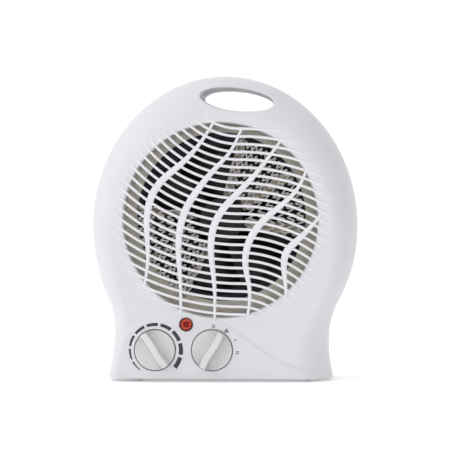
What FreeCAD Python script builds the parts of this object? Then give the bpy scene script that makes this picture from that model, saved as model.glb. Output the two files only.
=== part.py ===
"""Upright fan heater: an oval two-part case on a flared base, a swirled outlet grille, two rotary
controls, a crimped-ribbon heating element and an axial fan on a shaded-pole motor.

Millimetres, +Z up, front towards -Y. The origin is on the floor, at the middle of the heater's box.
"""
import FreeCAD, Part
import Sketcher
import math
import os
import re

from FreeCAD import Placement, Rotation, Vector

# Driving dimensions. "Depth" is measured back from the case's seam, so the front is negative.
DIMENSIONS = {
    # case
    "body_width": 223.0,
    "body_height": 255.5,
    "oval_rise": 126.0,
    "blend_height": 68.0,
    "neck_height": 38.0,
    "neck_width": 180.6,
    "base_width": 189.0,
    "base_lean": 3.8,
    "lean_height": 105.0,
    "base_gap": 2.5,
    "wall": 2.5,
    "side_depth": 14.0,
    "face_depth": 50.0,
    "rear_depth": 60.0,
    # carrying hole
    "grip_x": 11.0,
    "grip_height": 235.3,
    "grip_half_width": 30.3,
    "grip_half_rise": 9.3,
    "grip_tilt": 6.6,
    "grip_flare": 1.5,
    # outlet grille and the fan's axis
    "outlet_x": -2.6,
    "outlet_height": 134.4,
    "outlet_radius": 81.3,
    "slat_pitch": 6.42,
    "slat_thick": 2.2,
    "slat_deep": 9.0,
    "slat_proud": 1.0,
    "slat_meet_x": 13.55,
    "slat_top": 210.2,
    "slat_arc_above": 260.5,
    "slat_arc_below": 16.8,
    "rib_width": 6.0,
    "rib_tip_width": 3.6,
    # controls
    "control_height": 26.5,
    "thermostat_x": -56.9,
    "selector_x": -9.5,
    "knob_radius": 16.6,
    "knob_gap": 0.8,
    "knob_back": 42.0,
    "knob_disc": 10.0,
    "knob_front": 62.0,
    "knob_bar": 5.3,
    "spindle_radius": 3.0,
    "running_gap": 0.05,
    "lens_x": -31.0,
    "lens_height": 47.8,
    "lens_radius": 5.6,
    "plate_depth": 40.0,
    "plate_thick": 1.5,
    # heating element
    "mica_front": 30.0,
    "mica_thick": 1.0,
    "mica_radius": 84.0,
    "mica_opening": 70.5,
    "opening_rise": 3.0,
    "ribbon_deep": 6.0,
    "ribbon_thick": 0.6,
    "ribbon_first": 26.0,
    "ribbon_pitch": 8.0,
    "fin_deep": 8.0,
    # fan, duct and motor
    "duct_radius": 62.0,
    "duct_back": 12.0,
    "blade_tip": 57.0,
    "hub_radius": 12.0,
    "hub_half": 7.0,
    "shaft_radius": 2.5,
    "rotor_radius": 14.0,
    "rotor_gap": 0.5,
    "stack_front": 22.0,
    "stack_deep": 20.0,
    # base
    "foot_radius": 5.3,
    "foot_stem": 2.0,
    "pin_radius": 2.4,
    "pin_x": -50.0,
    "pin_y": 20.0,
    "cord_x": 55.0,
    "cord_height": 24.0,
    "cord_bore": 3.6,
    "gland_radius": 7.0,
    "gland_flange": 2.0,
}

SLAT_COUNT = 25
BLADE_COUNT = 7
RIBBON_TURNS = 6
THERMOSTAT_POINTER = 150.0
SELECTOR_POINTER = 34.0
RIBBON_SECTORS = {"lower_left": (172.0, 243.0), "upper_right": (-8.0, 75.0)}
FIN_ANGLES = (172.0, 207.5, 243.0, -8.0, 33.5, 75.0)
CASE_BOSS_ANGLES = (50.0, 130.0, 230.0, 310.0)
CASE_BOSS_REACH = 96.0
HEATER_BOSS_ANGLES = (20.0, 160.0, 200.0, 340.0)
HEATER_BOSS_REACH = 91.0
BRACKET_BOSSES = ((-33.2, 13.0), (-33.2, 35.5))
FOOT_PLACES = {
    "foot_front_left": (-73.0, -36.0),
    "foot_front_right": (73.0, -36.0),
    "foot_rear_left": (-64.0, 38.0),
    "foot_rear_right": (64.0, 38.0),
}

# The five curved ribs that tie the slats together, as (x, height) along each one from its top.
RIB_PATHS = (
    ((-7.8, 216), (-20.3, 197), (-36.3, 180), (-55.3, 162), (-62.8, 143), (-62.8, 101), (-65.8, 79.5)),
    ((16.7, 215), (5.2, 190.5), (-7.8, 176), (-21.3, 159.5), (-31.3, 143), (-37.3, 113.5),
     (-35.8, 84.5), (-35.3, 58)),
    ((49.2, 202.5), (34.2, 182), (21.2, 166.5), (6.2, 151), (-5.8, 134.5), (-10.3, 109.5),
     (-7.8, 84.5), (-7.3, 51)),
    ((69.7, 178), (60.7, 159.5), (47.7, 146.5), (31.7, 132.5), (22.7, 119.5), (18.2, 99.5),
     (21.7, 76.5), (19.7, 53)),
    ((82.2, 140), (71.2, 127.5), (60.7, 117), (52.2, 107.5), (50.2, 97), (51.7, 76.5), (51.7, 69.5)),
)

UP = Vector(0, 0, 1)
BACK = Vector(0, 1, 0)
FACING_FRONT = Rotation(Vector(1, 0, 0), 90)    # a local +Z axis then points to the front
FACING_BACK = Rotation(Vector(1, 0, 0), -90)    # a local +Z axis then points to the back

doc = FreeCAD.newDocument("FanHeater")
sheet = doc.addObject("Spreadsheet::Sheet", "dims")
parts = {}


# ---------------------------------------------------------------- sheet and document helpers

def fill_sheet():
    """Writes every driving dimension into the sheet, one row each, with its alias."""
    for row, (alias, size) in enumerate(DIMENSIONS.items(), start=1):
        sheet.set(f"A{row}", alias)
        sheet.set(f"B{row}", str(size))
        sheet.setAlias(f"B{row}", alias)
    doc.recompute()


def size(alias):
    """A driving dimension, read back from the sheet."""
    return float(sheet.get(alias))


def bind(obj, prop, formula):
    """Binds a property to a formula over the sheet's aliases."""
    text = re.sub(r"[a-z]+(_[a-z]+)+|wall", lambda word: "dims." + word.group(), str(formula))
    obj.setExpression(prop, text)


def place(obj, x, y, z, rotation=Rotation()):
    """Turns an object, and binds its position to formulas over the sheet."""
    obj.Placement = Placement(Vector(), rotation)
    for axis, formula in zip("xyz", (x, y, z)):
        bind(obj, f"Placement.Base.{axis}", formula)


def cylinder(name, radius, length, x, y, z, rotation=FACING_BACK):
    """A cylinder, by default lying front to back and starting at depth y."""
    obj = doc.addObject("Part::Cylinder", name)
    bind(obj, "Radius", radius)
    bind(obj, "Height", length)
    place(obj, x, y, z, rotation)
    return obj


def block(name, length, width, height, x, y, z):
    """A box of the given size along X, Y and Z, whose lowest corner is at x, y, z."""
    obj = doc.addObject("Part::Box", name)
    bind(obj, "Length", length)
    bind(obj, "Width", width)
    bind(obj, "Height", height)
    place(obj, x, y, z)
    return obj


def fuse(name, *shapes):
    """One solid from several."""
    obj = doc.addObject("Part::MultiFuse", name)
    obj.Shapes = list(shapes)
    obj.Refine = True
    return obj


def cut(name, base, *tools):
    """The base with every tool taken out of it."""
    obj = doc.addObject("Part::Cut", name)
    obj.Base = base
    obj.Tool = tools[0] if len(tools) == 1 else fuse(name + "_tools", *tools)
    obj.Refine = True
    return obj


def feature(name, shape):
    """A sub-part whose shape comes from Part's own functions."""
    obj = doc.addObject("Part::Feature", name)
    obj.Shape = shape
    obj.Placement = Placement()
    return obj


def keep(label, obj):
    """Names a finished sub-part; its label is its node's name."""
    obj.Label = label
    parts[label] = obj


# ---------------------------------------------------------------- geometry helpers

def polar(reach, angle, depth=0.0):
    """A point at a distance and an angle from the fan's axis, seen from the front."""
    turn = math.radians(angle)
    x = size("outlet_x") + reach * math.cos(turn)
    z = size("outlet_height") + reach * math.sin(turn)
    return Vector(x, depth, z)


def rod(radius, start, end, x, z):
    """A solid cylinder that lies front to back."""
    return Part.makeCylinder(radius, end - start, Vector(x, start, z), BACK)


def cuboid(low, high):
    """A solid box between two corners."""
    low = Vector(*low)
    span = Vector(*high) - low
    return Part.makeBox(span.x, span.y, span.z, low)


def extrude_back(points_or_wire, depth):
    """A solid made by pushing a closed outline back by a depth."""
    return Part.Face(points_or_wire).extrude(Vector(0, depth, 0))


def ring_sector(inner, outer, start, end, first, last):
    """A slice of a ring about the fan's axis, between two angles."""
    middle = (first + last) / 2
    edges = [
        Part.Arc(polar(outer, first, start), polar(outer, middle, start), polar(outer, last, start)),
        Part.LineSegment(polar(outer, last, start), polar(inner, last, start)),
        Part.Arc(polar(inner, last, start), polar(inner, middle, start), polar(inner, first, start)),
        Part.LineSegment(polar(inner, first, start), polar(outer, first, start)),
    ]
    return extrude_back(Part.Wire([edge.toShape() for edge in edges]), end - start)


def radial_bar(near, far, thick, start, end, angle):
    """A straight bar that points away from the fan's axis."""
    bar = Part.makeBox(far - near, end - start, thick, Vector(near, start, -thick / 2))
    bar.rotate(Vector(), BACK, -angle)
    bar.translate(polar(0, 0))
    return bar


def smooth_step(value):
    """0 below 0, 1 above 1 and a smooth rise between."""
    held = min(1.0, max(0.0, value))
    return held * held * (3 - 2 * held)


# ---------------------------------------------------------------- case

def half_width(height):
    """Half the case's width at its seam: an oval that narrows to a neck, then flares."""
    half = size("body_width") / 2
    rise = size("oval_rise")
    blend = size("blend_height")
    neck = size("neck_height")
    neck_half = size("neck_width") / 2
    middle = size("body_height") - rise
    if height >= blend:
        return half * math.sqrt(max(0.0, 1 - ((height - middle) / rise) ** 2))
    if height >= neck:
        oval_half = half * math.sqrt(1 - ((blend - middle) / rise) ** 2)
        slope = (half / rise) ** 2 * (middle - blend) / oval_half
        step = (height - neck) / (blend - neck)
        ease = step * step * (3 - 2 * step)
        return neck_half + (oval_half - neck_half) * ease + slope * (blend - neck) * (step ** 3 - step ** 2)
    flare = (size("base_width") / 2 - neck_half) / (neck - size("base_gap")) ** 2
    return neck_half + flare * (neck - height) ** 2


def seam_outline():
    """Points round the case at its seam, as (x, z); it runs on below the base to be cut off."""
    half = size("body_width") / 2
    rise = size("oval_rise")
    middle = size("body_height") - rise
    under = -10.0
    keel = 60.0
    right = []
    for angle in range(75, -31, -15):
        turn = math.radians(angle)
        right.append((half * math.cos(turn), middle + rise * math.sin(turn)))
    for height in (53.0, 38.0, 20.0, 2.0):
        right.append((half_width(height), height))
    for angle in (15, 40, 65):
        turn = math.radians(angle)
        right.append((half_width(under) * math.cos(turn), under - keel * math.sin(turn)))
    left = [(-x, z) for x, z in reversed(right)]
    return [(0.0, size("body_height"))] + right + [(0.0, under - keel)] + left


def base_shift(height):
    """How far the case's middle line leans to one side: nothing at the oval, most at the base."""
    lean = size("lean_height")
    return -size("base_lean") * smooth_step((lean - height) / lean)


def front_taper(x, z):
    """How much of its width and height the case loses at the front face, as fractions."""
    base = smooth_step((75.0 - z) / 60.0)
    at_base = 0.32 if x > 0 else 0.095
    return 0.2 + (at_base - 0.2) * base, 0.132


def rear_taper(x, z):
    """The same at the rear face, which leans well forward at the top."""
    base = smooth_step((130.0 - z) / 130.0)
    return 0.27 - 0.13 * base, 0.33


def case_section(depth, closing, taper, inset):
    """A closed curve round the case at one depth; closing runs from 0 at the seam to 1."""
    points = []
    for x, z in seam_outline():
        narrow, lower = taper(x, z)
        up = z * (1 - lower * closing)
        points.append(Vector(x * (1 - narrow * closing) + base_shift(up), depth, up))
    if inset:
        count = len(points)
        spans = [points[(i + 1) % count] - points[i - 1] for i in range(count)]
        points = [point - span.cross(BACK).normalize() * inset for point, span in zip(points, spans)]
    curve = Part.BSplineCurve()
    curve.interpolate(points, True)
    return Part.Wire(curve.toShape())


def case_half(direction, full_depth, taper, inset=0.0):
    """Half of the case as a solid: straight at the seam, then rounded over to a flat face."""
    straight = size("side_depth")
    reach = full_depth - inset
    sections = [case_section(0.0, 0.0, taper, inset)]
    for angle in range(0, 91, 15):
        turn = math.radians(angle)
        depth = direction * (straight + (reach - straight) * math.sin(turn))
        sections.append(case_section(depth, 1 - math.cos(turn), taper, inset))
    body = Part.makeLoft(sections, True, False)
    floor = size("base_gap") + inset
    return body.cut(cuboid((-300, -100, -200), (300, 100, floor)))


def grip_outline(depth, grow):
    """The carrying hole's tilted oval at one depth."""
    wide = size("grip_half_width") + grow
    tall = size("grip_half_rise") + grow
    wire = Part.Wire(Part.Ellipse(Vector(), wide, tall).toShape())
    wire.Placement = Placement(
        Vector(size("grip_x"), depth, size("grip_height")),
        FACING_FRONT.multiply(Rotation(UP, -size("grip_tilt"))),
    )
    return wire


def grip_channel(grow=0.0):
    """The carrying hole from front to back, wider towards both mouths."""
    flare = size("grip_flare")
    stations = ((-60, flare), (-22, 0), (22, 0), (66, flare))
    rings = [grip_outline(depth, grow + extra) for depth, extra in stations]
    return Part.makeLoft(rings, True, True)


def hollow_half(direction, full_depth, taper):
    """A case half with its cavity and the walled carrying hole through it."""
    outer = case_half(direction, full_depth, taper)
    cavity = case_half(direction, full_depth, taper, size("wall"))
    bar_bottom = size("grip_height") + size("grip_half_rise") - 1
    cavity = cavity.cut(cuboid((-300, -100, bar_bottom), (300, 100, 300)))
    cavity = cavity.cut(grip_channel(size("wall")))
    return outer, outer.cut(cavity).cut(grip_channel())


def boss_places(reach, angles):
    """The (x, z) places of bosses spread about the fan's axis."""
    points = [polar(reach, angle) for angle in angles]
    return [(point.x, point.z) for point in points]


def make_front_shell():
    """The front half of the case, with its openings and the bosses on its inside."""
    outer, shell = hollow_half(-1, size("face_depth"), front_taper)
    face = -size("face_depth")
    mica = -size("mica_front")
    case_bosses = boss_places(CASE_BOSS_REACH, CASE_BOSS_ANGLES)
    heater_bosses = boss_places(HEATER_BOSS_REACH, HEATER_BOSS_ANGLES)
    root = face + size("wall") / 2
    bosses = [rod(4.5, root, 0, x, z) for x, z in case_bosses]
    bosses += [rod(4.0, root, mica, x, z) for x, z in heater_bosses]
    bosses += [rod(3.5, root, -size("plate_depth"), x, z) for x, z in BRACKET_BOSSES]
    shell = shell.fuse([boss.common(outer) for boss in bosses])
    knob_hole = size("knob_radius") + size("knob_gap")
    control = size("control_height")
    holes = [
        rod(size("outlet_radius"), face - 5, mica - 5, size("outlet_x"), size("outlet_height")),
        rod(knob_hole, face - 5, -45, size("thermostat_x"), control),
        rod(knob_hole, face - 5, -45, size("selector_x"), control),
        rod(size("lens_radius") + 0.15, face - 5, -45, size("lens_x"), size("lens_height")),
    ]
    holes += [rod(1.7, -15, 1, x, z) for x, z in case_bosses]
    holes += [rod(1.5, mica - 9, mica + 1, x, z) for x, z in heater_bosses]
    holes += [rod(1.2, -46, -39, x, z) for x, z in BRACKET_BOSSES]
    holes += foot_holes("foot_front_left", "foot_front_right")
    keep("front_shell", feature("FrontShell", shell.cut(holes)))


def foot_holes(*names):
    """The holes in the base that the feet's stems plug into."""
    return [Part.makeCylinder(size("foot_stem"), 10, Vector(*FOOT_PLACES[name], 0)) for name in names]


def make_rear_shell():
    """The rear half of the case, with screw wells and a barred air intake."""
    outer, shell = hollow_half(1, size("rear_depth"), rear_taper)
    back = size("rear_depth")
    case_bosses = boss_places(CASE_BOSS_REACH, CASE_BOSS_ANGLES)
    shell = shell.fuse([rod(6.0, 0, back, x, z).common(outer) for x, z in case_bosses])
    holes = [rod(1.9, -1, 9, x, z) for x, z in case_bosses]
    holes += [rod(4.2, 8, back + 5, x, z) for x, z in case_bosses]
    holes += intake_slots(56.0, 8.0, 3.4)
    holes.append(rod(size("gland_radius"), back - 8, back + 1, size("cord_x"), size("cord_height")))
    holes.append(Part.makeCylinder(size("pin_radius") + 0.8, 10, Vector(size("pin_x"), size("pin_y"), 0)))
    holes += foot_holes("foot_rear_left", "foot_rear_right")
    keep("rear_shell", feature("RearShell", shell.cut(holes)))


def intake_slots(radius, pitch, gap):
    """Level slots that fill a circle behind the fan, each split by a middle bar."""
    slots = []
    rows = int((radius - pitch / 2) / pitch)
    for row in range(-rows, rows + 1):
        rise = row * pitch
        reach = math.sqrt(radius ** 2 - rise ** 2) - 2
        low = size("outlet_height") + rise - gap / 2
        for first, last in ((-reach, -3.0), (3.0, reach)):
            corner = (size("outlet_x") + first, size("rear_depth") - 10, low)
            far = (size("outlet_x") + last, size("rear_depth") + 5, low + gap)
            slots.append(cuboid(corner, far))
    return slots


# ---------------------------------------------------------------- outlet grille

def slat_outline(level, shift):
    """Three arcs' worth of a slat's edge: hollow to the left, crowned to the right."""
    meet = size("slat_meet_x")
    above = size("slat_arc_above")
    below = size("slat_arc_below")
    front = -size("face_depth") - size("slat_proud")
    left_radius = above - level - shift
    right_radius = level + shift - below
    reach = size("outlet_radius") + 6

    def left(x):
        return Vector(x, front, above - math.sqrt(left_radius ** 2 - (x - meet) ** 2))

    def right(x):
        span = min(abs(x - meet), right_radius * 0.97)
        return Vector(meet + span, front, below + math.sqrt(right_radius ** 2 - span ** 2))

    start = max(size("outlet_x") - reach, meet - left_radius * 0.97)
    end = size("outlet_x") + reach
    return [
        Part.Arc(left(start), left((start + meet) / 2), left(meet)).toShape(),
        Part.Arc(right(meet), right((end + meet) / 2), right(end)).toShape(),
    ]


def make_slat(level):
    """One thin curved slat, running past the outlet on both sides."""
    half = size("slat_thick") / 2
    top = slat_outline(level, half)
    bottom = slat_outline(level, -half)
    start = Part.LineSegment(top[0].Vertexes[0].Point, bottom[0].Vertexes[0].Point).toShape()
    end = Part.LineSegment(top[1].Vertexes[-1].Point, bottom[1].Vertexes[-1].Point).toShape()
    wire = Part.Wire(Part.__sortEdges__(top + [end] + bottom + [start]))
    return extrude_back(wire, size("slat_deep"))


def make_rib(path):
    """One S-shaped rib, widest at its middle."""
    front = -size("face_depth") - size("slat_proud")
    middle = Part.BSplineCurve()
    middle.interpolate([Vector(x, front, z) for x, z in path])
    count = 12
    sides = ([], [])
    for step in range(count + 1):
        along = middle.FirstParameter + (middle.LastParameter - middle.FirstParameter) * step / count
        swell = math.sin(math.pi * step / count)
        width = size("rib_tip_width") + (size("rib_width") - size("rib_tip_width")) * swell
        across = middle.tangent(along)[0].cross(BACK).normalize() * (width / 2)
        sides[0].append(middle.value(along) + across)
        sides[1].append(middle.value(along) - across)
    curves = []
    for points in sides:
        curve = Part.BSplineCurve()
        curve.interpolate(points)
        curves.append(curve.toShape())
    ends = [Part.LineSegment(sides[0][i], sides[1][i]).toShape() for i in (0, -1)]
    wire = Part.Wire(Part.__sortEdges__(curves + ends))
    return extrude_back(wire, size("slat_deep"))


def make_front_grille():
    """The slats and ribs, trimmed to the outlet and tied to a rim that seats behind the face."""
    face = -size("face_depth")
    x = size("outlet_x")
    z = size("outlet_height")
    radius = size("outlet_radius")
    rim_front = face + size("wall") + 0.6
    rim = rod(radius + 2.2, rim_front, rim_front + 3, x, z)
    rim = rim.cut(rod(radius - 1.8, rim_front - 1, rim_front + 4, x, z))
    trim = rod(radius - 0.3, face - 5, face + 20, x, z)
    levels = [size("slat_top") - size("slat_pitch") * row for row in range(SLAT_COUNT)]
    bars = [make_slat(level) for level in levels] + [make_rib(path) for path in RIB_PATHS]
    grille = rim.fuse([bar.common(trim) for bar in bars])
    keep("front_grille", feature("FrontGrille", grille.removeSplitter()))


# ---------------------------------------------------------------- controls

def new_body(name):
    """An empty PartDesign body."""
    return doc.addObject("PartDesign::Body", name)


def sketch_on(body, name, role):
    """A sketch on one of the body's own origin planes."""
    sketch = body.newObject("Sketcher::SketchObject", name)
    plane = next(item for item in body.Origin.OriginFeatures if item.Role == role)
    sketch.AttachmentSupport = [(plane, "")]
    sketch.MapMode = "FlatFace"
    return sketch


def circle_in(sketch, radius_formula):
    """A circle about the sketch's origin, with its radius bound to the sheet."""
    index = sketch.addGeometry(Part.Circle(Vector(), UP, 1.0))
    sketch.addConstraint(Sketcher.Constraint("Coincident", index, 3, -1, 1))
    constraint = sketch.addConstraint(Sketcher.Constraint("Radius", index, 1.0))
    bind(sketch, f"Constraints[{constraint}]", radius_formula)


def polygon_in(sketch, points):
    """A closed outline of straight lines."""
    for start, end in zip(points, points[1:] + points[:1]):
        sketch.addGeometry(Part.LineSegment(Vector(*start, 0), Vector(*end, 0)))


def pad(body, name, sketch, length_formula):
    """Pushes a sketch out into a solid."""
    obj = body.newObject("PartDesign::Pad", name)
    obj.Profile = sketch
    bind(obj, "Length", length_formula)
    return obj


def pocket(body, name, sketch, length_formula, reverse):
    """Takes a sketch's area out of the body."""
    obj = body.newObject("PartDesign::Pocket", name)
    obj.Profile = sketch
    obj.Reversed = reverse
    bind(obj, "Length", length_formula)
    return obj


def turned_body(name, profile):
    """A body turned about its own Z axis from a profile of (radius, height) points."""
    body = new_body(name)
    sketch = sketch_on(body, name + "Profile", "XZ_Plane")
    polygon_in(sketch, profile)
    turn = body.newObject("PartDesign::Revolution", name + "Turn")
    turn.Profile = sketch
    turn.ReferenceAxis = (sketch, ["V_Axis"])
    turn.Angle = 360
    return body


def make_knob(label, x_alias, pointer):
    """A round knob with a grip bar across it, a dimple at the pointer and a blind spindle bore."""
    name = label.title().replace("_", "")
    body = new_body(name)
    disc = sketch_on(body, name + "Disc", "XY_Plane")
    circle_in(disc, "knob_radius")
    solid = pad(body, name + "DiscPad", disc, "knob_disc")
    doc.recompute()
    top_edge = [
        f"Edge{number}" for number, edge in enumerate(solid.Shape.Edges, start=1)
        if abs(edge.BoundBox.ZMin - size("knob_disc")) < 0.01
    ]
    rim = body.newObject("PartDesign::Chamfer", name + "Rim")
    rim.Base = (solid, top_edge)
    rim.Size = 1.2
    bar = sketch_on(body, name + "Bar", "XY_Plane")
    half = size("knob_bar") / 2
    reach = math.sqrt((size("knob_radius") - 0.6) ** 2 - half ** 2)
    bulge = size("knob_radius") - 0.6
    bar.addGeometry(Part.LineSegment(Vector(half, -reach, 0), Vector(half, reach, 0)))
    bar.addGeometry(Part.Arc(Vector(half, reach, 0), Vector(0, bulge, 0), Vector(-half, reach, 0)))
    bar.addGeometry(Part.LineSegment(Vector(-half, reach, 0), Vector(-half, -reach, 0)))
    bar.addGeometry(Part.Arc(Vector(-half, -reach, 0), Vector(0, -bulge, 0), Vector(half, -reach, 0)))
    pad(body, name + "BarPad", bar, "knob_front - knob_back")
    bore = sketch_on(body, name + "Bore", "XY_Plane")
    circle_in(bore, "spindle_radius + running_gap")
    pocket(body, name + "BorePocket", bore, 8.5, True)
    dimple = sketch_on(body, name + "Dimple", "XY_Plane")
    dimple.addGeometry(Part.Circle(Vector(0, size("knob_radius") - 3.5, 0), UP, 1.0))
    dimple.AttachmentOffset = Placement(Vector(0, 0, size("knob_front") - size("knob_back")), Rotation())
    pocket(body, name + "DimplePocket", dimple, 0.6, False)
    turned = FACING_FRONT.multiply(Rotation(UP, -pointer))
    place(body, x_alias, "-knob_back", "control_height", turned)
    keep(label, body)


def make_spindle(label, x_alias):
    """The steel spindle that the knob turns."""
    name = label.title().replace("_", "")
    length = "knob_back + 8 - 25"
    keep(label, cylinder(name, "spindle_radius", length, x_alias, "-knob_back - 8", "control_height"))


def make_switch(label, x_alias, deep):
    """A control's insulated body behind the plate, with its threaded neck and bore."""
    name = label.title().replace("_", "")
    back_of_plate = "plate_thick - plate_depth"
    body = block(name + "Case", 28, deep, 26, f"{x_alias} - 14", back_of_plate, "control_height - 13")
    neck = cylinder(name + "Neck", 4.8, 4, x_alias, "-knob_back + 0.5", "control_height")
    bore = cylinder(
        name + "Bore", "spindle_radius + running_gap", 18, x_alias, "-knob_back", "control_height"
    )
    keep(label, cut(name, fuse(name + "Solid", body, neck), bore))


def make_control_plate():
    """The steel plate that carries both controls."""
    plate = block("PlateBlank", 96, "plate_thick", 36, -81.5, "-plate_depth", 8)
    holes = [
        cylinder("PlateHole" + side, 5, 4, alias, "-plate_depth - 1", "control_height")
        for side, alias in (("Left", "thermostat_x"), ("Right", "selector_x"))
    ]
    holes += [
        cylinder(f"PlateScrewHole{number}", 1.6, 4, x, "-plate_depth - 1", z)
        for number, (x, z) in enumerate(BRACKET_BOSSES)
    ]
    keep("control_plate", cut("ControlPlate", plate, *holes))


def make_indicator():
    """The red domed lens that snaps in from behind, and the neon lamp in its cup."""
    radius = size("lens_radius")
    profile = [
        (0, 8), (2.6, 7.5), (4.6, 6.2), (radius, 4), (radius, 1.5), (7.2, 1.5), (7.2, 0),
        (3.5, 0), (3.5, 3.5), (0, 3.5),
    ]
    lens = turned_body("IndicatorLens", profile)
    place(lens, "lens_x", -46, "lens_height", FACING_FRONT)
    keep("indicator_lens", lens)
    keep("neon_lamp", cylinder("NeonLamp", 3, 13, "lens_x", -48.5, "lens_height"))


# ---------------------------------------------------------------- heating element

def ribbon_radii():
    """The radius of each turn of the heating ribbon."""
    return [size("ribbon_first") + size("ribbon_pitch") * turn for turn in range(RIBBON_TURNS)]


def make_ribbon(side):
    """A flat resistance ribbon that runs to and fro in arcs across one sector."""
    first, last = RIBBON_SECTORS[side]
    thick = size("ribbon_thick")
    back = -size("mica_front") - 1
    front = back - size("ribbon_deep")
    overhang = 3.0
    radii = ribbon_radii()
    ends = [(first - math.degrees(overhang / r), last + math.degrees(overhang / r)) for r in radii]
    pieces = [ring_sector(r, r + thick, front, back, *span) for r, span in zip(radii, ends)]
    for turn in range(RIBBON_TURNS - 1):
        side_of_return = (turn + 1) % 2
        angles = (ends[turn][side_of_return], ends[turn + 1][side_of_return])
        pieces.append(ribbon_bend(radii[turn], radii[turn + 1], *angles, front, back))
    keep("heating_ribbon_" + side, feature("Ribbon" + side.title(), pieces[0].fuse(pieces[1:])))


def ribbon_bend(near, far, near_angle, far_angle, front, back):
    """The short straight return between two turns of the ribbon, let into both of their ends."""
    thick = size("ribbon_thick")
    start = polar(near, near_angle, front)
    end = polar(far + thick, far_angle, front)
    across = (end - start).cross(BACK).normalize() * (thick / 2)
    corners = [start - across, end - across, end + across, start + across, start - across]
    return extrude_back(Part.makePolygon(corners), back - front)


def make_fin(number, angle):
    """One insulating fin, slotted for the ribbon's turns."""
    back = -size("mica_front")
    front = back - size("fin_deep")
    fin = radial_bar(20.0, 72.0, 0.8, front, back, angle)
    slots = []
    for radius in ribbon_radii():
        middle = radius + size("ribbon_thick") / 2
        slots.append(radial_bar(middle - 0.8, middle + 0.8, 3, front - 1, back - 0.7, angle))
    keep(f"mica_fin_{number}", feature(f"MicaFin{number}", fin.cut(slots)))


def element_opening(start, end, shrink=0.0):
    """The round opening before the fan, a little above its axis."""
    radius = size("mica_opening") - shrink
    return rod(radius, start, end, size("outlet_x"), size("outlet_height") + size("opening_rise"))


def make_mica_frame():
    """The insulating ring round the element."""
    front = -size("mica_front")
    back = front + size("mica_thick")
    x = size("outlet_x")
    z = size("outlet_height")
    ring = rod(size("mica_radius"), front, back, x, z)
    keep("mica_frame", feature("MicaFrame", ring.cut(element_opening(front - 1, back + 1))))


def make_element_bracket():
    """The dark steel spider across the ring's opening: a disc with a thin arm behind each fin."""
    front = -size("mica_front")
    back = front + size("mica_thick")
    arms = [radial_bar(10, size("mica_opening") + 4, 3, front, back, angle) for angle in FIN_ANGLES]
    disc = rod(18, front, back, size("outlet_x"), size("outlet_height"))
    spider = disc.fuse(arms).common(element_opening(front, back, 0.3))
    keep("element_bracket", feature("ElementBracket", spider.removeSplitter()))


def make_heater_plate():
    """The steel ring behind the mica, with four ears that screw to the front shell."""
    front = -size("mica_front") + size("mica_thick")
    back = front + 1
    x = size("outlet_x")
    z = size("outlet_height")
    ears = [radial_bar(75, HEATER_BOSS_REACH + 4.5, 9, front, back, angle) for angle in HEATER_BOSS_ANGLES]
    plate = rod(80, front, back, x, z).fuse(ears)
    places = boss_places(HEATER_BOSS_REACH, HEATER_BOSS_ANGLES)
    holes = [rod(1.7, front - 1, back + 1, *spot) for spot in places]
    holes.append(element_opening(front - 1, back + 1))
    keep("heater_plate", feature("HeaterPlate", plate.cut(holes).removeSplitter()))


def make_thermal_cutout():
    """The round overheat switch on the back of the duct's flange."""
    keep("thermal_cutout", cylinder("ThermalCutout", 6.6, 6, "outlet_x", -27, "outlet_height + 70.8"))


# ---------------------------------------------------------------- fan, duct and motor

def make_fan_duct():
    """The round duct about the fan, flanged at the front."""
    start = "2 - mica_front"
    length = "duct_back + mica_front - 2"
    tube = cylinder("DuctTube", "duct_radius + 1.5", length, "outlet_x", start, "outlet_height")
    flange = cylinder("DuctFlange", "duct_radius + 14", 1, "outlet_x", start, "outlet_height")
    bore = cylinder("DuctBore", "duct_radius", 60, "outlet_x", -35, "outlet_height")
    keep("fan_duct", cut("FanDuct", fuse("DuctSolid", tube, flange), bore))


def blade_section(radius, chord, pitch, thick):
    """A blade's straight cross-section at one radius, for a blade that points along +X."""
    turn = math.radians(pitch)
    along = Vector(0, math.sin(turn), math.cos(turn))
    across = Vector(0, -math.cos(turn), math.sin(turn))
    middle = Vector(radius, 0, 0)
    signs = ((1, 1), (-1, 1), (-1, -1), (1, -1), (1, 1))
    return Part.makePolygon([middle + along * (a * chord / 2) + across * (b * thick / 2) for a, b in signs])


def make_impeller():
    """The axial fan: twisted blades on a round hub with the shaft's bore."""
    root = blade_section(size("hub_radius") - 3, 15.0, 52.0, 2.0)
    tip = blade_section(size("blade_tip"), 38.0, 22.0, 1.4)
    half = size("hub_half")
    blade = Part.makeLoft([root, tip], True, True)
    blades = []
    for number in range(BLADE_COUNT):
        copy = blade.copy()
        copy.rotate(Vector(), BACK, 360.0 * number / BLADE_COUNT)
        blades.append(copy)
    fan = rod(size("hub_radius"), -half, half, 0, 0).fuse(blades)
    fan = fan.cut(rod(size("shaft_radius"), -half + 3, half + 1, 0, 0))
    fan.translate(polar(0, 0))
    keep("fan_impeller", feature("FanImpeller", fan.removeSplitter()))


def make_motor_spider():
    """The pressed ring with four arms that holds the motor in the duct's back."""
    start = size("duct_back")
    end = start + 1.5
    x = size("outlet_x")
    z = size("outlet_height")
    ring = rod(size("duct_radius") + 4, start, end, x, z).cut(rod(size("duct_radius") - 3, start, end, x, z))
    arms = [radial_bar(10, size("duct_radius"), 9, start, end, angle) for angle in (45, 135, 225, 315)]
    spider = ring.fuse(arms + [rod(32, start, end, x, z)])
    holes = [rod(9, start - 1, end + 1, x, z)]
    holes += [rod(1.6, start - 1, end + 1, x + side * 25, z) for side in (-1, 1)]
    keep("motor_spider", feature("MotorSpider", spider.cut(holes).removeSplitter()))


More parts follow.
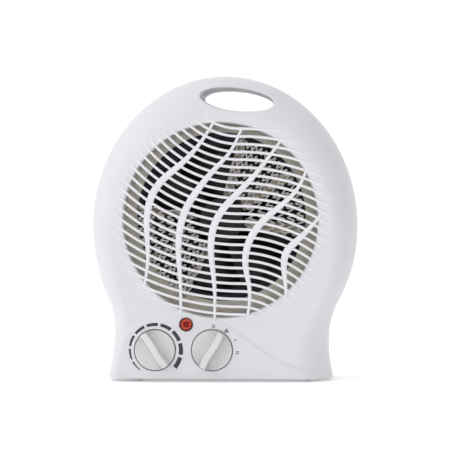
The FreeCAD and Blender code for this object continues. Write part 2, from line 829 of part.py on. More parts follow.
def make_bearing_bridge(label, start, end, post_start, post_end):
    """A bearing bridge: a bar with a bushed middle and a post at each end."""
    x = size("outlet_x")
    z = size("outlet_height")
    bridge = cuboid((x - 30, start, z - 7), (x + 30, end, z + 7))
    posts = [rod(3.2, post_start, post_end, x + side * 25, z) for side in (-1, 1)]
    bridge = bridge.fuse(posts + [rod(6, min(start, post_start + 1.5), max(end, post_end - 1.5), x, z)])
    holes = [rod(size("shaft_radius") + size("running_gap"), start - 9, end + 9, x, z)]
    holes += [rod(1.6, start - 9, end + 9, x + side * 25, z) for side in (-1, 1)]
    keep(label, feature(label.title().replace("_", ""), bridge.cut(holes).removeSplitter()))


def make_motor():
    """The shaded-pole motor: laminated stack, coil, rotor, shaft, bridges and long screws."""
    x = size("outlet_x")
    z = size("outlet_height")
    front = size("stack_front")
    back = front + size("stack_deep")
    stack = cuboid((x - 30, front, z - 38), (x + 30, back, z + 20))
    holes = [rod(size("rotor_radius") + size("rotor_gap"), front - 1, back + 1, x, z)]
    holes += [rod(1.6, front - 1, back + 1, x + side * 25, z) for side in (-1, 1)]
    for first, last in ((-20, -10), (10, 20)):
        holes.append(cuboid((x + first, front - 1, z - 32), (x + last, back + 1, z - 20)))
    keep("motor_stator", feature("MotorStator", stack.cut(holes)))
    coil = cuboid((x - 19.7, front - 5, z - 31.7), (x + 19.7, back + 5, z - 20.3))
    coil = coil.cut(cuboid((x - 10, front, z - 33), (x + 10, back, z - 19)))
    keep("motor_coil", feature("MotorCoil", coil))
    rotor = cylinder("RotorSolid", "rotor_radius", "stack_deep", "outlet_x", "stack_front", "outlet_height")
    bore = cylinder("RotorBore", "shaft_radius", 60, "outlet_x", 0, "outlet_height")
    keep("motor_rotor", cut("MotorRotor", rotor, bore))
    shaft = cylinder("MotorShaft", "shaft_radius", 55, "outlet_x", "3 - hub_half", "outlet_height")
    keep("motor_shaft", shaft)
    spider_back = size("duct_back") + 1.5
    make_bearing_bridge("front_bearing_bridge", spider_back, spider_back + 3, spider_back, front)
    make_bearing_bridge("rear_bearing_bridge", back + 5, back + 8, back, back + 5)
    screws = []
    for side in (-1, 1):
        shank = rod(1.5, size("duct_back") - 1, back + 8, x + side * 25, z)
        screws.append(shank.fuse(rod(3, back + 8, back + 10, x + side * 25, z)))
    keep("motor_screws", feature("MotorScrews", Part.makeCompound(screws)))


# ---------------------------------------------------------------- base, cord inlet, fasteners

def make_feet():
    """Four rubber feet, each with a stem that plugs into the base."""
    radius = size("foot_radius")
    gap = size("base_gap")
    stem = size("foot_stem")
    profile = [(0, 0), (radius - 0.8, 0), (radius, 0.8), (radius, gap), (stem, gap), (stem, 6.5), (0, 6.5)]
    for label, (x, y) in FOOT_PLACES.items():
        foot = turned_body(label.title().replace("_", ""), profile)
        place(foot, x, y, 0)
        keep(label, foot)


def make_tip_switch():
    """The tip-over switch and its pin, which the floor holds up while the heater stands."""
    floor = "base_gap + wall"
    case = block("TipCase", 22, 14, 26, "pin_x - 11", "pin_y - 7", floor)
    bore = cylinder("TipBore", "pin_radius + 0.06", 24, "pin_x", "pin_y", 0, Rotation())
    keep("tip_switch", cut("TipSwitch", case, bore))
    keep("tip_pin", cylinder("TipPin", "pin_radius", 21, "pin_x", "pin_y", 0, Rotation()))


def make_cord_gland():
    """The flanged bush in the rear wall that the mains cord enters by."""
    start = "rear_depth - 10"
    barrel = cylinder("GlandBarrel", "gland_radius", 10, "cord_x", start, "cord_height")
    flange = cylinder(
        "GlandFlange", "gland_radius + 2.5", "gland_flange", "cord_x", "rear_depth", "cord_height"
    )
    bore = cylinder("GlandBore", "cord_bore", 20, "cord_x", "rear_depth - 12", "cord_height")
    keep("cord_gland", cut("CordGland", fuse("GlandSolid", barrel, flange), bore))


def make_terminal_block():
    """The screw terminals that join the cord to the wiring, on the case's floor."""
    case = block("TerminalCase", 44, 16, 12, 14, 16, "base_gap + wall")
    wells = [
        cylinder(f"TerminalWell{number}", 1.8, 6, 20 + 8 * number, 24, "base_gap + wall + 7", Rotation())
        for number in range(5)
    ]
    keep("terminal_block", cut("TerminalBlock", case, *wells))


def make_screw_set(label, places, start, seat, head_radius, shank_radius):
    """A set of equal screws whose heads seat at one depth and point to the front."""
    screws = []
    for x, z in places:
        shank = rod(shank_radius, start, seat, x, z)
        screws.append(shank.fuse(rod(head_radius, seat, seat + 2.2, x, z)))
    keep(label, feature(label.title().replace("_", ""), Part.makeCompound(screws)))


def make_screws():
    """The case screws, the heater plate's screws and the control plate's screws."""
    plate_back = -size("mica_front") + size("mica_thick") + 1
    control_back = -size("plate_depth") + size("plate_thick")
    case_places = boss_places(CASE_BOSS_REACH, CASE_BOSS_ANGLES)
    heater_places = boss_places(HEATER_BOSS_REACH, HEATER_BOSS_ANGLES)
    make_screw_set("case_screws", case_places, -14, 8, 3.6, 1.7)
    make_screw_set("heater_screws", heater_places, -size("mica_front") - 8, plate_back, 3.2, 1.5)
    make_screw_set("control_plate_screws", BRACKET_BOSSES, -45, control_back, 2.6, 1.2)


# ---------------------------------------------------------------- build, test and write

def check_document():
    """Stops if any object failed, or any sub-part is empty or invalid."""
    for obj in doc.Objects:
        if {"Invalid", "Error"} & set(obj.State):
            raise RuntimeError(f"{obj.Label} failed to recompute")
    for label, obj in parts.items():
        if obj.Shape.isNull() or not obj.Shape.isValid() or not obj.Shape.Solids:
            raise RuntimeError(f"{label} has no valid solid")


def write_parts():
    """Writes one STEP file for each sub-part."""
    os.makedirs("parts", exist_ok=True)
    for label, obj in parts.items():
        obj.Shape.exportStep(f"parts/{label}.step")
        print(f"{label}: {len(obj.Shape.Solids)} solid(s), {obj.Shape.Volume / 1000:.2f} cm3")


def main():
    """Builds every sub-part, tests it and writes it."""
    fill_sheet()
    make_front_shell()
    make_rear_shell()
    make_front_grille()
    make_knob("thermostat_knob", "thermostat_x", THERMOSTAT_POINTER)
    make_knob("selector_knob", "selector_x", SELECTOR_POINTER)
    make_spindle("thermostat_spindle", "thermostat_x")
    make_spindle("selector_spindle", "selector_x")
    make_switch("thermostat_body", "thermostat_x", 16)
    make_switch("selector_switch", "selector_x", 22)
    make_control_plate()
    make_indicator()
    for side in RIBBON_SECTORS:
        make_ribbon(side)
    for number, angle in enumerate(FIN_ANGLES, start=1):
        make_fin(number, angle)
    make_mica_frame()
    make_element_bracket()
    make_heater_plate()
    make_thermal_cutout()
    make_fan_duct()
    make_impeller()
    make_motor_spider()
    make_motor()
    make_feet()
    make_tip_switch()
    make_cord_gland()
    make_terminal_block()
    make_screws()
    doc.recompute()
    check_document()
    write_parts()


main()
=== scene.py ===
"""The fan heater's looks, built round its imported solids: moulded case, swirled grille, knobs, prints,
crimped heating ribbon, mica, fan and finishes. Shapes are worked out in millimetres and made in metres."""
import math
import random

import bmesh
import bpy
import numpy as np
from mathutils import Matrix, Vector


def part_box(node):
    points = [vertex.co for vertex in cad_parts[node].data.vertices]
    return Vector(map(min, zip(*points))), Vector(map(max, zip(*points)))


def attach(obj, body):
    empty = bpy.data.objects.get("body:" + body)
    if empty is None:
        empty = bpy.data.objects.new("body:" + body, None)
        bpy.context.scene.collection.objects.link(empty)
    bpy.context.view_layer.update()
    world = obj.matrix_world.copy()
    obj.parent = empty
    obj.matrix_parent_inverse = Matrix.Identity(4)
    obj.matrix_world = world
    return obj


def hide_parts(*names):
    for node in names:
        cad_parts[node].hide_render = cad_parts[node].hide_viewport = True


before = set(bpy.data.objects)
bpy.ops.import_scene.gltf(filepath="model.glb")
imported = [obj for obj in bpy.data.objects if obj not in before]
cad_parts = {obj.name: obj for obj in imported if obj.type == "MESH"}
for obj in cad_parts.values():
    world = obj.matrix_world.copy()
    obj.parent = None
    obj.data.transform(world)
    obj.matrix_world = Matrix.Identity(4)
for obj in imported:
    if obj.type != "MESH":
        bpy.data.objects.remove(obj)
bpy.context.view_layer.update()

MM = 0.001
scene = bpy.context.scene


def box_mm(node):
    """A CAD node's lowest and highest corners, in millimetres."""
    low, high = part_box(node)
    return low / MM, high / MM


def middle_of(node):
    """The middle of a CAD node's box, in millimetres."""
    low, high = box_mm(node)
    return (low + high) / 2


# ---------------------------------------------------------------- sizes, in millimetres

FRONT_LOW, FRONT_HIGH = box_mm("front_shell")
HALF = round(FRONT_HIGH.x, 2)
HEIGHT = FRONT_HIGH.z
BASE_GAP = FRONT_LOW.z
FACE_DEPTH = -FRONT_LOW.y
WALL = 2.5
SIDE_DEPTH = 14.0

# the case's outline at its seam: an oval, blended into a neck that flares to the base
OVAL_RISE = 126.0
BLEND_HEIGHT = 68.0
NECK_HEIGHT = 38.0
NECK_HALF = 90.3
BASE_HALF = 94.5
BASE_LEAN = 3.8
LEAN_HEIGHT = 105.0
FRONT_LOWER = 0.132
BASE_EDGE = 1.8

GRIP_X, GRIP_Z = 11.0, 234.9
GRIP_WIDE, GRIP_TALL = 30.0, 8.9
GRIP_TILT = math.radians(6.6)
GRIP_FLARE = 1.5
GRIP_STRAIGHT = 22.0
GRIP_LIP = 2.2
LIP_START = 28.0

AXIS = middle_of("mica_frame")
GRILLE_LOW, GRILLE_HIGH = box_mm("front_grille")
OUTLET = (GRILLE_HIGH.x - GRILLE_LOW.x) / 2 - 2.2
SLAT_FRONT = GRILLE_LOW.y
SLAT_DEEP = 5.5
SLAT_COUNT = 25
SLAT_TOP, SLAT_PITCH, SLAT_THICK = 210.2, 6.42, 2.3
SLAT_MEET, ARC_ABOVE, ARC_BELOW = 13.55, 260.5, 16.8
RIB_PATHS = (
    ((-7.8, 216), (-20.3, 197), (-36.3, 180), (-55.3, 162), (-62.8, 143), (-62.8, 101), (-65.8, 79.5)),
    ((14.4, 208.5), (5.2, 190.5), (-7.8, 176), (-21.3, 159.5), (-31.3, 143), (-37.3, 113.5),
     (-35.8, 84.5), (-35.3, 58)),
    ((49.2, 202.5), (34.2, 182), (21.2, 166.5), (6.2, 151), (-5.8, 134.5), (-10.3, 109.5),
     (-7.8, 84.5), (-7.3, 51)),
    ((69.7, 178), (60.7, 159.5), (47.7, 146.5), (31.7, 132.5), (22.7, 119.5), (18.2, 99.5),
     (21.7, 76.5), (19.7, 53)),
    ((82.2, 140), (71.2, 127.5), (60.7, 117), (52.2, 107.5), (50.2, 97), (51.7, 76.5), (51.7, 69.5)),
)

# the raised control panel's upper edge, as (x, height)
PANEL_EDGE = ((-96.6, 6), (-91.6, 19), (-86.1, 31), (-78.6, 41.5), (-62.1, 52), (-36.1, 58), (-12.1, 53),
              (16.9, 36.5), (41.9, 19), (57.9, 11.5), (77.9, 4.5))
PANEL_STEP = 1.2

KNOBS = {"thermostat": 150.0, "selector": 34.0}
KNOB_GAP = 0.8
PRINT_THICK = 0.12
LENS = middle_of("indicator_lens")
LENS_RADIUS = 5.6


# ---------------------------------------------------------------- materials

def new_material(name):
    """An empty node material and its Principled shader."""
    material = bpy.data.materials.new(name)
    material.use_nodes = True
    return material, material.node_tree.nodes["Principled BSDF"]


def noise(tree, scale, detail=2.0, rough=0.5, stretch=None):
    """A noise texture in the object's own space; scale is per metre."""
    coordinates = tree.nodes.new("ShaderNodeTexCoord")
    node = tree.nodes.new("ShaderNodeTexNoise")
    node.inputs["Scale"].default_value = scale
    node.inputs["Detail"].default_value = detail
    node.inputs["Roughness"].default_value = rough
    source = coordinates.outputs["Object"]
    if stretch:
        mapping = tree.nodes.new("ShaderNodeMapping")
        mapping.inputs["Scale"].default_value = stretch
        tree.links.new(source, mapping.inputs["Vector"])
        source = mapping.outputs["Vector"]
    tree.links.new(source, node.inputs["Vector"])
    return node.outputs["Fac"]


def ramp(tree, source, *stops):
    """A colour ramp of (position, colour) stops."""
    node = tree.nodes.new("ShaderNodeValToRGB")
    elements = node.color_ramp.elements
    while len(elements) < len(stops):
        elements.new(0.5)
    for element, (position, colour) in zip(elements, stops):
        element.position = position
        element.color = (*colour, 1)
    tree.links.new(source, node.inputs["Fac"])
    return node.outputs["Color"]


def spread(tree, source, low, high, first=0.3, last=0.7):
    """Maps a noise to a range of values."""
    node = tree.nodes.new("ShaderNodeMapRange")
    for name, value in (("From Min", first), ("From Max", last), ("To Min", low), ("To Max", high)):
        node.inputs[name].default_value = value
    tree.links.new(source, node.inputs["Value"])
    return node.outputs["Result"]


def mixed(tree, factor, first, second, blend="MIX"):
    """Two colours or sockets mixed by a factor."""
    node = tree.nodes.new("ShaderNodeMix")
    node.data_type = "RGBA"
    node.blend_type = blend
    given = {"Factor": factor, "A": first, "B": second}
    for socket, value in ((node.inputs[name], value) for name, value in given.items()):
        if isinstance(value, bpy.types.NodeSocket):
            tree.links.new(value, socket)
        else:
            socket.default_value = value if isinstance(value, float) else (*value, 1)
    return node.outputs["Result"]


def bump(tree, shader, source, height, strength=1.0):
    """Drives the shader's normal with a bump of that height in metres."""
    node = tree.nodes.new("ShaderNodeBump")
    node.inputs["Distance"].default_value = height
    node.inputs["Strength"].default_value = strength
    tree.links.new(source, node.inputs["Height"])
    tree.links.new(node.outputs["Normal"], shader.inputs["Normal"])


def tinted(colour, by):
    """A colour made lighter or darker."""
    return tuple(min(1.0, channel * by) for channel in colour)


def moulded(name, colour, rough, grain=0.00002, wear=0.06, scale=2600, coat=0.0):
    """A moulded plastic: fine spark-eroded grain, faint cloudiness, edges a little polished."""
    material, shader = new_material(name)
    tree = material.node_tree
    cloud = noise(tree, 14, 3)
    base = ramp(tree, cloud, (0.3, tinted(colour, 0.975)), (0.7, tinted(colour, 1.02)))
    geometry = tree.nodes.new("ShaderNodeNewGeometry")
    edge = spread(tree, geometry.outputs["Pointiness"], 0.0, wear, 0.51, 0.58)
    worn = mixed(tree, edge, base, tinted(colour, 1.12))
    tree.links.new(worn, shader.inputs["Base Color"])
    smear = noise(tree, 60, 4)
    tree.links.new(spread(tree, smear, rough - 0.06, rough + 0.07), shader.inputs["Roughness"])
    bump(tree, shader, noise(tree, scale, 2), grain)
    shader.inputs["Coat Weight"].default_value = coat
    shader.inputs["Coat Roughness"].default_value = 0.2
    return material


def sheet_metal(name, colour, rough, spangle=90.0, contrast=0.15, grain=0.00001):
    """Plated or oxidised sheet metal with a faint spangle and rolling marks."""
    material, shader = new_material(name)
    tree = material.node_tree
    patches = noise(tree, spangle, 3, 0.6)
    base = ramp(tree, patches, (0.35, tinted(colour, 1 - contrast)), (0.65, tinted(colour, 1 + contrast)))
    tree.links.new(base, shader.inputs["Base Color"])
    marks = noise(tree, 500, 2, 0.5, (1.0, 0.2, 6.0))
    tree.links.new(spread(tree, marks, rough - 0.08, rough + 0.1), shader.inputs["Roughness"])
    shader.inputs["Metallic"].default_value = 1.0
    bump(tree, shader, marks, grain)
    return material


def mica_sheet():
    """Built-up mica: a taupe board with grey, green and rosy flakes and a faint sheen."""
    material, shader = new_material("mica_board")
    tree = material.node_tree
    flakes = noise(tree, 130, 3, 0.55)
    base = ramp(
        tree, flakes,
        (0.3, (0.80, 0.66, 0.56)), (0.42, (0.84, 0.77, 0.66)), (0.5, (0.88, 0.83, 0.74)),
        (0.58, (0.84, 0.82, 0.67)), (0.7, (0.90, 0.85, 0.78)),
    )
    fine = noise(tree, 900, 2)
    speckled = mixed(tree, spread(tree, fine, 0.0, 0.25), base, (0.92, 0.89, 0.82))
    tree.links.new(speckled, shader.inputs["Base Color"])
    tree.links.new(spread(tree, flakes, 0.45, 0.7), shader.inputs["Roughness"])
    bump(tree, shader, fine, 0.00005)
    return material


def fin_mica():
    """Paler mica for the fins, browned in patches by the heat."""
    material, shader = new_material("fin_mica")
    tree = material.node_tree
    scorch = noise(tree, 55, 3, 0.5)
    base = ramp(
        tree, scorch,
        (0.35, (0.66, 0.62, 0.54)), (0.52, (0.60, 0.55, 0.47)), (0.6, (0.60, 0.47, 0.41)),
        (0.72, (0.50, 0.37, 0.32)),
    )
    tree.links.new(base, shader.inputs["Base Color"])
    tree.links.new(spread(tree, scorch, 0.45, 0.7), shader.inputs["Roughness"])
    bump(tree, shader, noise(tree, 700, 2), 0.00005)
    return material


def ribbon_metal():
    """Resistance ribbon: greyish, oxidised in bands."""
    material, shader = new_material("ribbon_metal")
    tree = material.node_tree
    bands = noise(tree, 160, 3, 0.5)
    base = ramp(
        tree, bands, (0.35, (0.62, 0.58, 0.53)), (0.55, (0.76, 0.73, 0.68)), (0.7, (0.86, 0.84, 0.79)))
    tree.links.new(base, shader.inputs["Base Color"])
    tree.links.new(spread(tree, bands, 0.35, 0.55), shader.inputs["Roughness"])
    shader.inputs["Metallic"].default_value = 0.35
    bump(tree, shader, noise(tree, 1500, 2), 0.00002)
    return material


def red_lens():
    """Clear red plastic."""
    material, shader = new_material("red_lens")
    tree = material.node_tree
    streaks = noise(tree, 300, 2)
    base = ramp(tree, streaks, (0.3, (0.93, 0.38, 0.33)), (0.7, (0.98, 0.46, 0.40)))
    tree.links.new(base, shader.inputs["Base Color"])
    tree.links.new(spread(tree, streaks, 0.04, 0.10), shader.inputs["Roughness"])
    shader.inputs["Transmission Weight"].default_value = 1.0
    shader.inputs["IOR"].default_value = 1.15
    bump(tree, shader, streaks, 0.00002)
    return material


def printed_ink():
    """Slate printing ink, a little uneven."""
    material, shader = new_material("printed_ink")
    tree = material.node_tree
    patches = noise(tree, 700, 3)
    base = ramp(tree, patches, (0.3, (0.016, 0.020, 0.026)), (0.7, (0.028, 0.034, 0.042)))
    tree.links.new(base, shader.inputs["Base Color"])
    tree.links.new(spread(tree, patches, 0.45, 0.65), shader.inputs["Roughness"])
    bump(tree, shader, patches, 0.00001)
    return material


WHITE = (0.672, 0.669, 0.704)
MATERIALS = {
    "case": moulded("case_white", WHITE, 0.42),
    "grille": moulded("grille_white", (0.74, 0.74, 0.77), 0.40),
    "knob": moulded("knob_white", (0.665, 0.665, 0.665), 0.38, scale=3200),
    "black": moulded("black_plastic", (0.02, 0.02, 0.022), 0.5, grain=0.00003),
    "nylon": moulded("white_nylon", (0.72, 0.71, 0.66), 0.45),
    "rubber": moulded("foot_rubber", (0.70, 0.70, 0.71), 0.75, grain=0.00006, scale=1500),
    "fan": moulded("fan_dark", (0.012, 0.013, 0.017), 0.34, wear=0.3, scale=900),
    "tape": moulded("coil_tape", (0.55, 0.38, 0.08), 0.5, grain=0.00004, scale=500),
    "zinc": sheet_metal("zinc_steel", (0.50, 0.51, 0.52), 0.38),
    # painted shade: the duct's steel gets a near-black colour so its deep walls read as shadowed, not its own
    # grey
    "duct": sheet_metal("duct_painted_shade", (0.030, 0.031, 0.036), 0.5),
    "stack": sheet_metal("lamination", (0.20, 0.20, 0.21), 0.5, contrast=0.25),
    "screw": sheet_metal("screw_steel", (0.55, 0.55, 0.56), 0.28, spangle=900.0),
    "mica": mica_sheet(),
    "fin": fin_mica(),
    "ribbon": ribbon_metal(),
    "lens": red_lens(),
    "ink": printed_ink(),
    "core": moulded("lamp_core", (0.20, 0.02, 0.02), 0.3),
    "cup": moulded("lamp_cup", (0.80, 0.62, 0.52), 0.4),
}


# ---------------------------------------------------------------- mesh helpers

def mesh_from(name, points, faces):
    """A mesh object in metres from points in millimetres."""
    mesh = bpy.data.meshes.new(name)
    mesh.from_pydata([tuple(np.asarray(point, float) * MM) for point in points], [], faces)
    mesh.validate()
    piece = bpy.data.objects.new(name, mesh)
    scene.collection.objects.link(piece)
    return piece


def finish_piece(piece, material, body, slot, *nodes, sharp=35.0, weighted=False):
    """Shades, paints and attaches a piece, and hides the CAD nodes that it stands for."""
    mesh = piece.data
    bm = bmesh.new()
    bm.from_mesh(mesh)
    bmesh.ops.remove_doubles(bm, verts=bm.verts, dist=0.000002)
    bmesh.ops.recalc_face_normals(bm, faces=bm.faces)
    bm.to_mesh(mesh)
    bm.free()
    mesh.shade_smooth()
    mesh.set_sharp_from_angle(angle=math.radians(sharp))
    if weighted:
        modifier = piece.modifiers.new("normals", "WEIGHTED_NORMAL")
        modifier.keep_sharp = True
    mesh.materials.clear()
    mesh.materials.append(MATERIALS[material])
    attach(piece, body)
    if nodes:
        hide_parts(*nodes)
    return piece


def lofted(rings, closed=True, capped=True):
    """Points and faces of a skin through rings of equal counts, with flat ends if capped."""
    count = len(rings[0])
    points = np.concatenate(rings)
    faces = []
    last = count if closed else count - 1
    for row in range(len(rings) - 1):
        here = row * count
        for i in range(last):
            j = (i + 1) % count
            faces.append((here + i, here + j, here + count + j, here + count + i))
    if capped:
        faces.append(tuple(range(count - 1, -1, -1)))
        start = (len(rings) - 1) * count
        faces.append(tuple(range(start, start + count)))
    return points, faces


def solid_from(name, rings):
    """A closed solid through rings, as an object."""
    points, faces = lofted(rings)
    piece = mesh_from(name, points, faces)
    bm = bmesh.new()
    bm.from_mesh(piece.data)
    bmesh.ops.recalc_face_normals(bm, faces=bm.faces)
    bm.to_mesh(piece.data)
    bm.free()
    return piece


def joined(name, parts):
    """Several (points, faces) lists as one."""
    points, faces = [], []
    for some_points, some_faces in parts:
        start = len(points)
        points.extend(some_points)
        faces.extend(tuple(start + index for index in face) for face in some_faces)
    return mesh_from(name, points, faces)


def carved(piece, cutters, operation="DIFFERENCE"):
    """The piece with the cutters taken out of it; the cutters are used up."""
    group = bpy.data.collections.new("cutters")
    for cutter in cutters:
        group.objects.link(cutter)
    modifier = piece.modifiers.new("carve", "BOOLEAN")
    modifier.operation = operation
    modifier.solver = "EXACT"
    modifier.operand_type = "COLLECTION"
    modifier.collection = group
    depsgraph = bpy.context.evaluated_depsgraph_get()
    mesh = bpy.data.meshes.new_from_object(piece.evaluated_get(depsgraph))
    piece.modifiers.clear()
    piece.data = mesh
    for cutter in cutters:
        bpy.data.objects.remove(cutter)
    bpy.data.collections.remove(group)
    return piece


def turned(profile, centre, forward=-1.0, segments=64):
    """A solid of revolution about a front-to-back axis from (radius, depth) points."""
    rings = []
    for angle in np.linspace(0, 2 * math.pi, segments, endpoint=False):
        rings.append([
            (centre[0] + radius * math.cos(angle), centre[1] + forward * depth,
             centre[2] + radius * math.sin(angle))
            for radius, depth in profile
        ])
    count = len(profile)
    points = [point for ring in rings for point in ring]
    faces = []
    for row in range(segments):
        here = row * count
        there = ((row + 1) % segments) * count
        for i in range(count - 1):
            faces.append((here + i, here + i + 1, there + i + 1, there + i))
    return points, faces


def smooth(value):
    """0 below 0, 1 above 1 and a smooth rise between."""
    held = np.clip(value, 0.0, 1.0)
    return held * held * (3 - 2 * held)


def spline_through(points, count):
    """Evenly spread points on a natural cubic spline through the given ones."""
    points = np.asarray(points, float)
    spans = np.r_[0, np.cumsum(np.linalg.norm(np.diff(points, axis=0), axis=1))]
    size = len(points)
    steps = np.diff(spans)
    matrix = np.eye(size)
    right = np.zeros((size, points.shape[1]))
    for i in range(1, size - 1):
        matrix[i, i - 1:i + 2] = (steps[i - 1], 2 * (steps[i - 1] + steps[i]), steps[i])
        change = (points[i + 1] - points[i]) / steps[i] - (points[i] - points[i - 1]) / steps[i - 1]
        right[i] = 6 * change
    bend = np.linalg.solve(matrix, right)
    wanted = np.linspace(0, spans[-1], count)
    index = np.clip(np.searchsorted(spans, wanted, side="right") - 1, 0, size - 2)
    a = ((spans[index + 1] - wanted) / steps[index])[:, None]
    b = 1 - a
    reach = (steps[index] ** 2 / 6)[:, None]
    return (a * points[index] + b * points[index + 1]
            + ((a ** 3 - a) * bend[index] + (b ** 3 - b) * bend[index + 1]) * reach)


# ---------------------------------------------------------------- the case's shape

def half_width(height):
    """Half the case's width at its seam."""
    height = np.asarray(height, float)
    middle = HEIGHT - OVAL_RISE
    oval = HALF * np.sqrt(np.clip(1 - ((height - middle) / OVAL_RISE) ** 2, 0, None))
    oval_half = HALF * math.sqrt(1 - ((BLEND_HEIGHT - middle) / OVAL_RISE) ** 2)
    slope = (HALF / OVAL_RISE) ** 2 * (middle - BLEND_HEIGHT) / oval_half
    rise = BLEND_HEIGHT - NECK_HEIGHT
    step = (height - NECK_HEIGHT) / rise
    throat = NECK_HALF + (oval_half - NECK_HALF) * smooth(step) + slope * rise * (step ** 3 - step ** 2)
    flare = (BASE_HALF - NECK_HALF) / (NECK_HEIGHT - BASE_GAP) ** 2
    foot = NECK_HALF + flare * (NECK_HEIGHT - height) ** 2
    return np.where(height >= BLEND_HEIGHT, oval, np.where(height >= NECK_HEIGHT, throat, foot))


def base_shift(height):
    """How far the case's middle line leans to one side, most at the base."""
    return -BASE_LEAN * smooth((LEAN_HEIGHT - height) / LEAN_HEIGHT)


def front_narrow(side, height):
    """The share of its width that the case loses at the front face."""
    base = smooth((75.0 - height) / 60.0)
    at_base = np.where(side > 0, 0.32, 0.095)
    return 0.2 + (at_base - 0.2) * base


FRONT = {"direction": -1, "depth": FACE_DEPTH, "narrow": front_narrow, "lower": FRONT_LOWER,
         "corners": (2.0, 5.0)}


def half_outline(low, count):
    """Evenly spread points up one side of the seam's outline, closer together near the base."""
    middle = HEIGHT - OVAL_RISE
    heights = np.linspace(low, BLEND_HEIGHT, 300)
    turns = np.linspace(math.asin((BLEND_HEIGHT - middle) / OVAL_RISE), math.pi / 2, 600)[1:]
    x = np.r_[half_width(heights), HALF * np.cos(turns)]
    z = np.r_[heights, middle + OVAL_RISE * np.sin(turns)]
    steps = np.hypot(np.diff(x), np.diff(z)) * (1 + 3 * np.exp((low - z[1:]) / 6))
    along = np.r_[0, np.cumsum(steps)]
    wanted = np.linspace(0, along[-1], count)
    return np.interp(wanted, along, x), np.interp(wanted, along, z)


def case_ring(half, closing, depth, inset, floor, counts, shrink=0.0):
    """One loop round the case: base's middle, up the right side, down the left."""
    side_count, base_count = counts
    x, z = half_outline(floor / (1 - half["lower"] * closing), side_count)
    sides = []
    for side in (1, -1):
        across = x * (1 - half["narrow"](side, z) * closing)
        up = z * (1 - half["lower"] * closing)
        tangent_x, tangent_z = np.gradient(across), np.gradient(up)
        length = np.hypot(tangent_x, tangent_z)
        total = inset + shrink
        across = across - total * tangent_z / length
        up = up + total * tangent_x / length
        corner = half["corners"][0 if side > 0 else 1] * (0.4 + 0.6 * closing)
        if not inset:
            short = corner - np.clip(up - floor, 0, corner)
            across = across - (corner - np.sqrt(np.clip(corner ** 2 - short ** 2, 0, None)))
        up[0] = floor
        across[-1] = 0.0
        if inset:
            up = np.minimum(up, GRIP_Z + GRIP_TALL - 1)
        sides.append(np.c_[side * across + base_shift(up), up])
    right, left = sides
    share = np.linspace(0, 1, base_count + 2)[1:-1, None]
    bottom = left[0] * (1 - share) + right[0] * share
    flat = np.concatenate([right, left[-2::-1], bottom])
    return np.c_[flat[:, 0], np.full(len(flat), half["direction"] * depth), flat[:, 1]]


def case_rings(half, inset=0.0, counts=(190, 90), turns=25, face_rings=44, hub=78.0):
    """Loops from the seam, round the case's edge and in across its face to a circle."""
    full = half["depth"] - inset
    rings = []
    if inset:
        rings.append(case_ring(half, 0.0, -1.0, inset, BASE_GAP + inset, counts))
    else:
        rings.append(case_ring(half, 0.0, 0.12, 0.0, BASE_GAP + 0.3, counts, shrink=0.35))
        rings.append(case_ring(half, 0.0, 0.5, 0.0, BASE_GAP, counts))
    for depth in (4.0, 9.0):
        rings.append(case_ring(half, 0.0, depth, inset, BASE_GAP + inset, counts))
    for turn in np.linspace(0, math.pi / 2, turns):
        depth = SIDE_DEPTH + (full - SIDE_DEPTH) * math.sin(turn)
        left = min(full - depth, BASE_EDGE)
        lift = 0.0 if inset else BASE_EDGE - math.sqrt(BASE_EDGE ** 2 - (BASE_EDGE - left) ** 2)
        rings.append(case_ring(half, 1 - math.cos(turn), depth, inset, BASE_GAP + inset + lift, counts))
    edge = rings[-1]
    centre = np.array([AXIS.x, edge[0][1], AXIS.z])
    spokes = edge - centre
    circle = centre + hub * spokes / np.linalg.norm(spokes, axis=1)[:, None]
    for share in np.linspace(0, 1, face_rings + 1)[1:]:
        rings.append(edge * (1 - share) + circle * share)
    return rings


PANEL_CURVE = spline_through(PANEL_EDGE, 200)


def panel_recess(x, z):
    """How far the face lies behind the control panel's level: 0 below the panel's edge."""
    edge = np.interp(x, PANEL_CURVE[:, 0], PANEL_CURVE[:, 1], left=-20.0, right=-20.0)
    slope = np.interp(x, PANEL_CURVE[1:, 0], np.diff(PANEL_CURVE[:, 1]) / np.diff(PANEL_CURVE[:, 0]))
    above = (z - edge) / np.sqrt(1 + slope ** 2)
    step = smooth((above + 0.4) / 2.6)
    fade = np.exp(-np.clip(above, 0, None) / 26.0)
    lean = smooth((x - 5) / 40) * smooth((95 - z) / 60)
    return step * (PANEL_STEP * (fade * (1 - lean) + lean) + 0.035 * np.clip(above, 0, 45) * lean)


def with_panel(points):
    """Moves front skin points back by the panel's recess, less and less round the case's edge."""
    points = np.array(points, float)
    forward = np.clip(-points[:, 1] / FACE_DEPTH, 0, 1) ** 4
    points[:, 1] += panel_recess(points[:, 0], points[:, 2]) * forward
    return points


def front_skin(x, z):
    """The depth of the front skin at points of the front view."""
    x, z = np.asarray(x, float), np.asarray(z, float)
    low, high = np.zeros(x.shape), np.ones(x.shape)
    for _ in range(26):
        closing = (low + high) / 2
        height = z / (1 - FRONT_LOWER * closing)
        reach = half_width(height) * (1 - front_narrow(x, height) * closing)
        inside = np.abs(x - base_shift(z)) <= reach
        low, high = np.where(inside, closing, low), np.where(inside, high, closing)
    sine = np.sqrt(np.clip(1 - (1 - low) ** 2, 0, None))
    depth = -(SIDE_DEPTH + (FACE_DEPTH - SIDE_DEPTH) * sine)
    return depth + panel_recess(x, z) * np.clip(-depth / FACE_DEPTH, 0, 1) ** 4


# ---------------------------------------------------------------- cutters for the case's openings

def round_outline(x, z, radius, count):
    """A circle's outline as a function of how far it is grown."""
    turn = np.linspace(0, 2 * math.pi, count, endpoint=False)
    return lambda grow: (x + (radius + grow) * np.cos(turn), z + (radius + grow) * np.sin(turn))


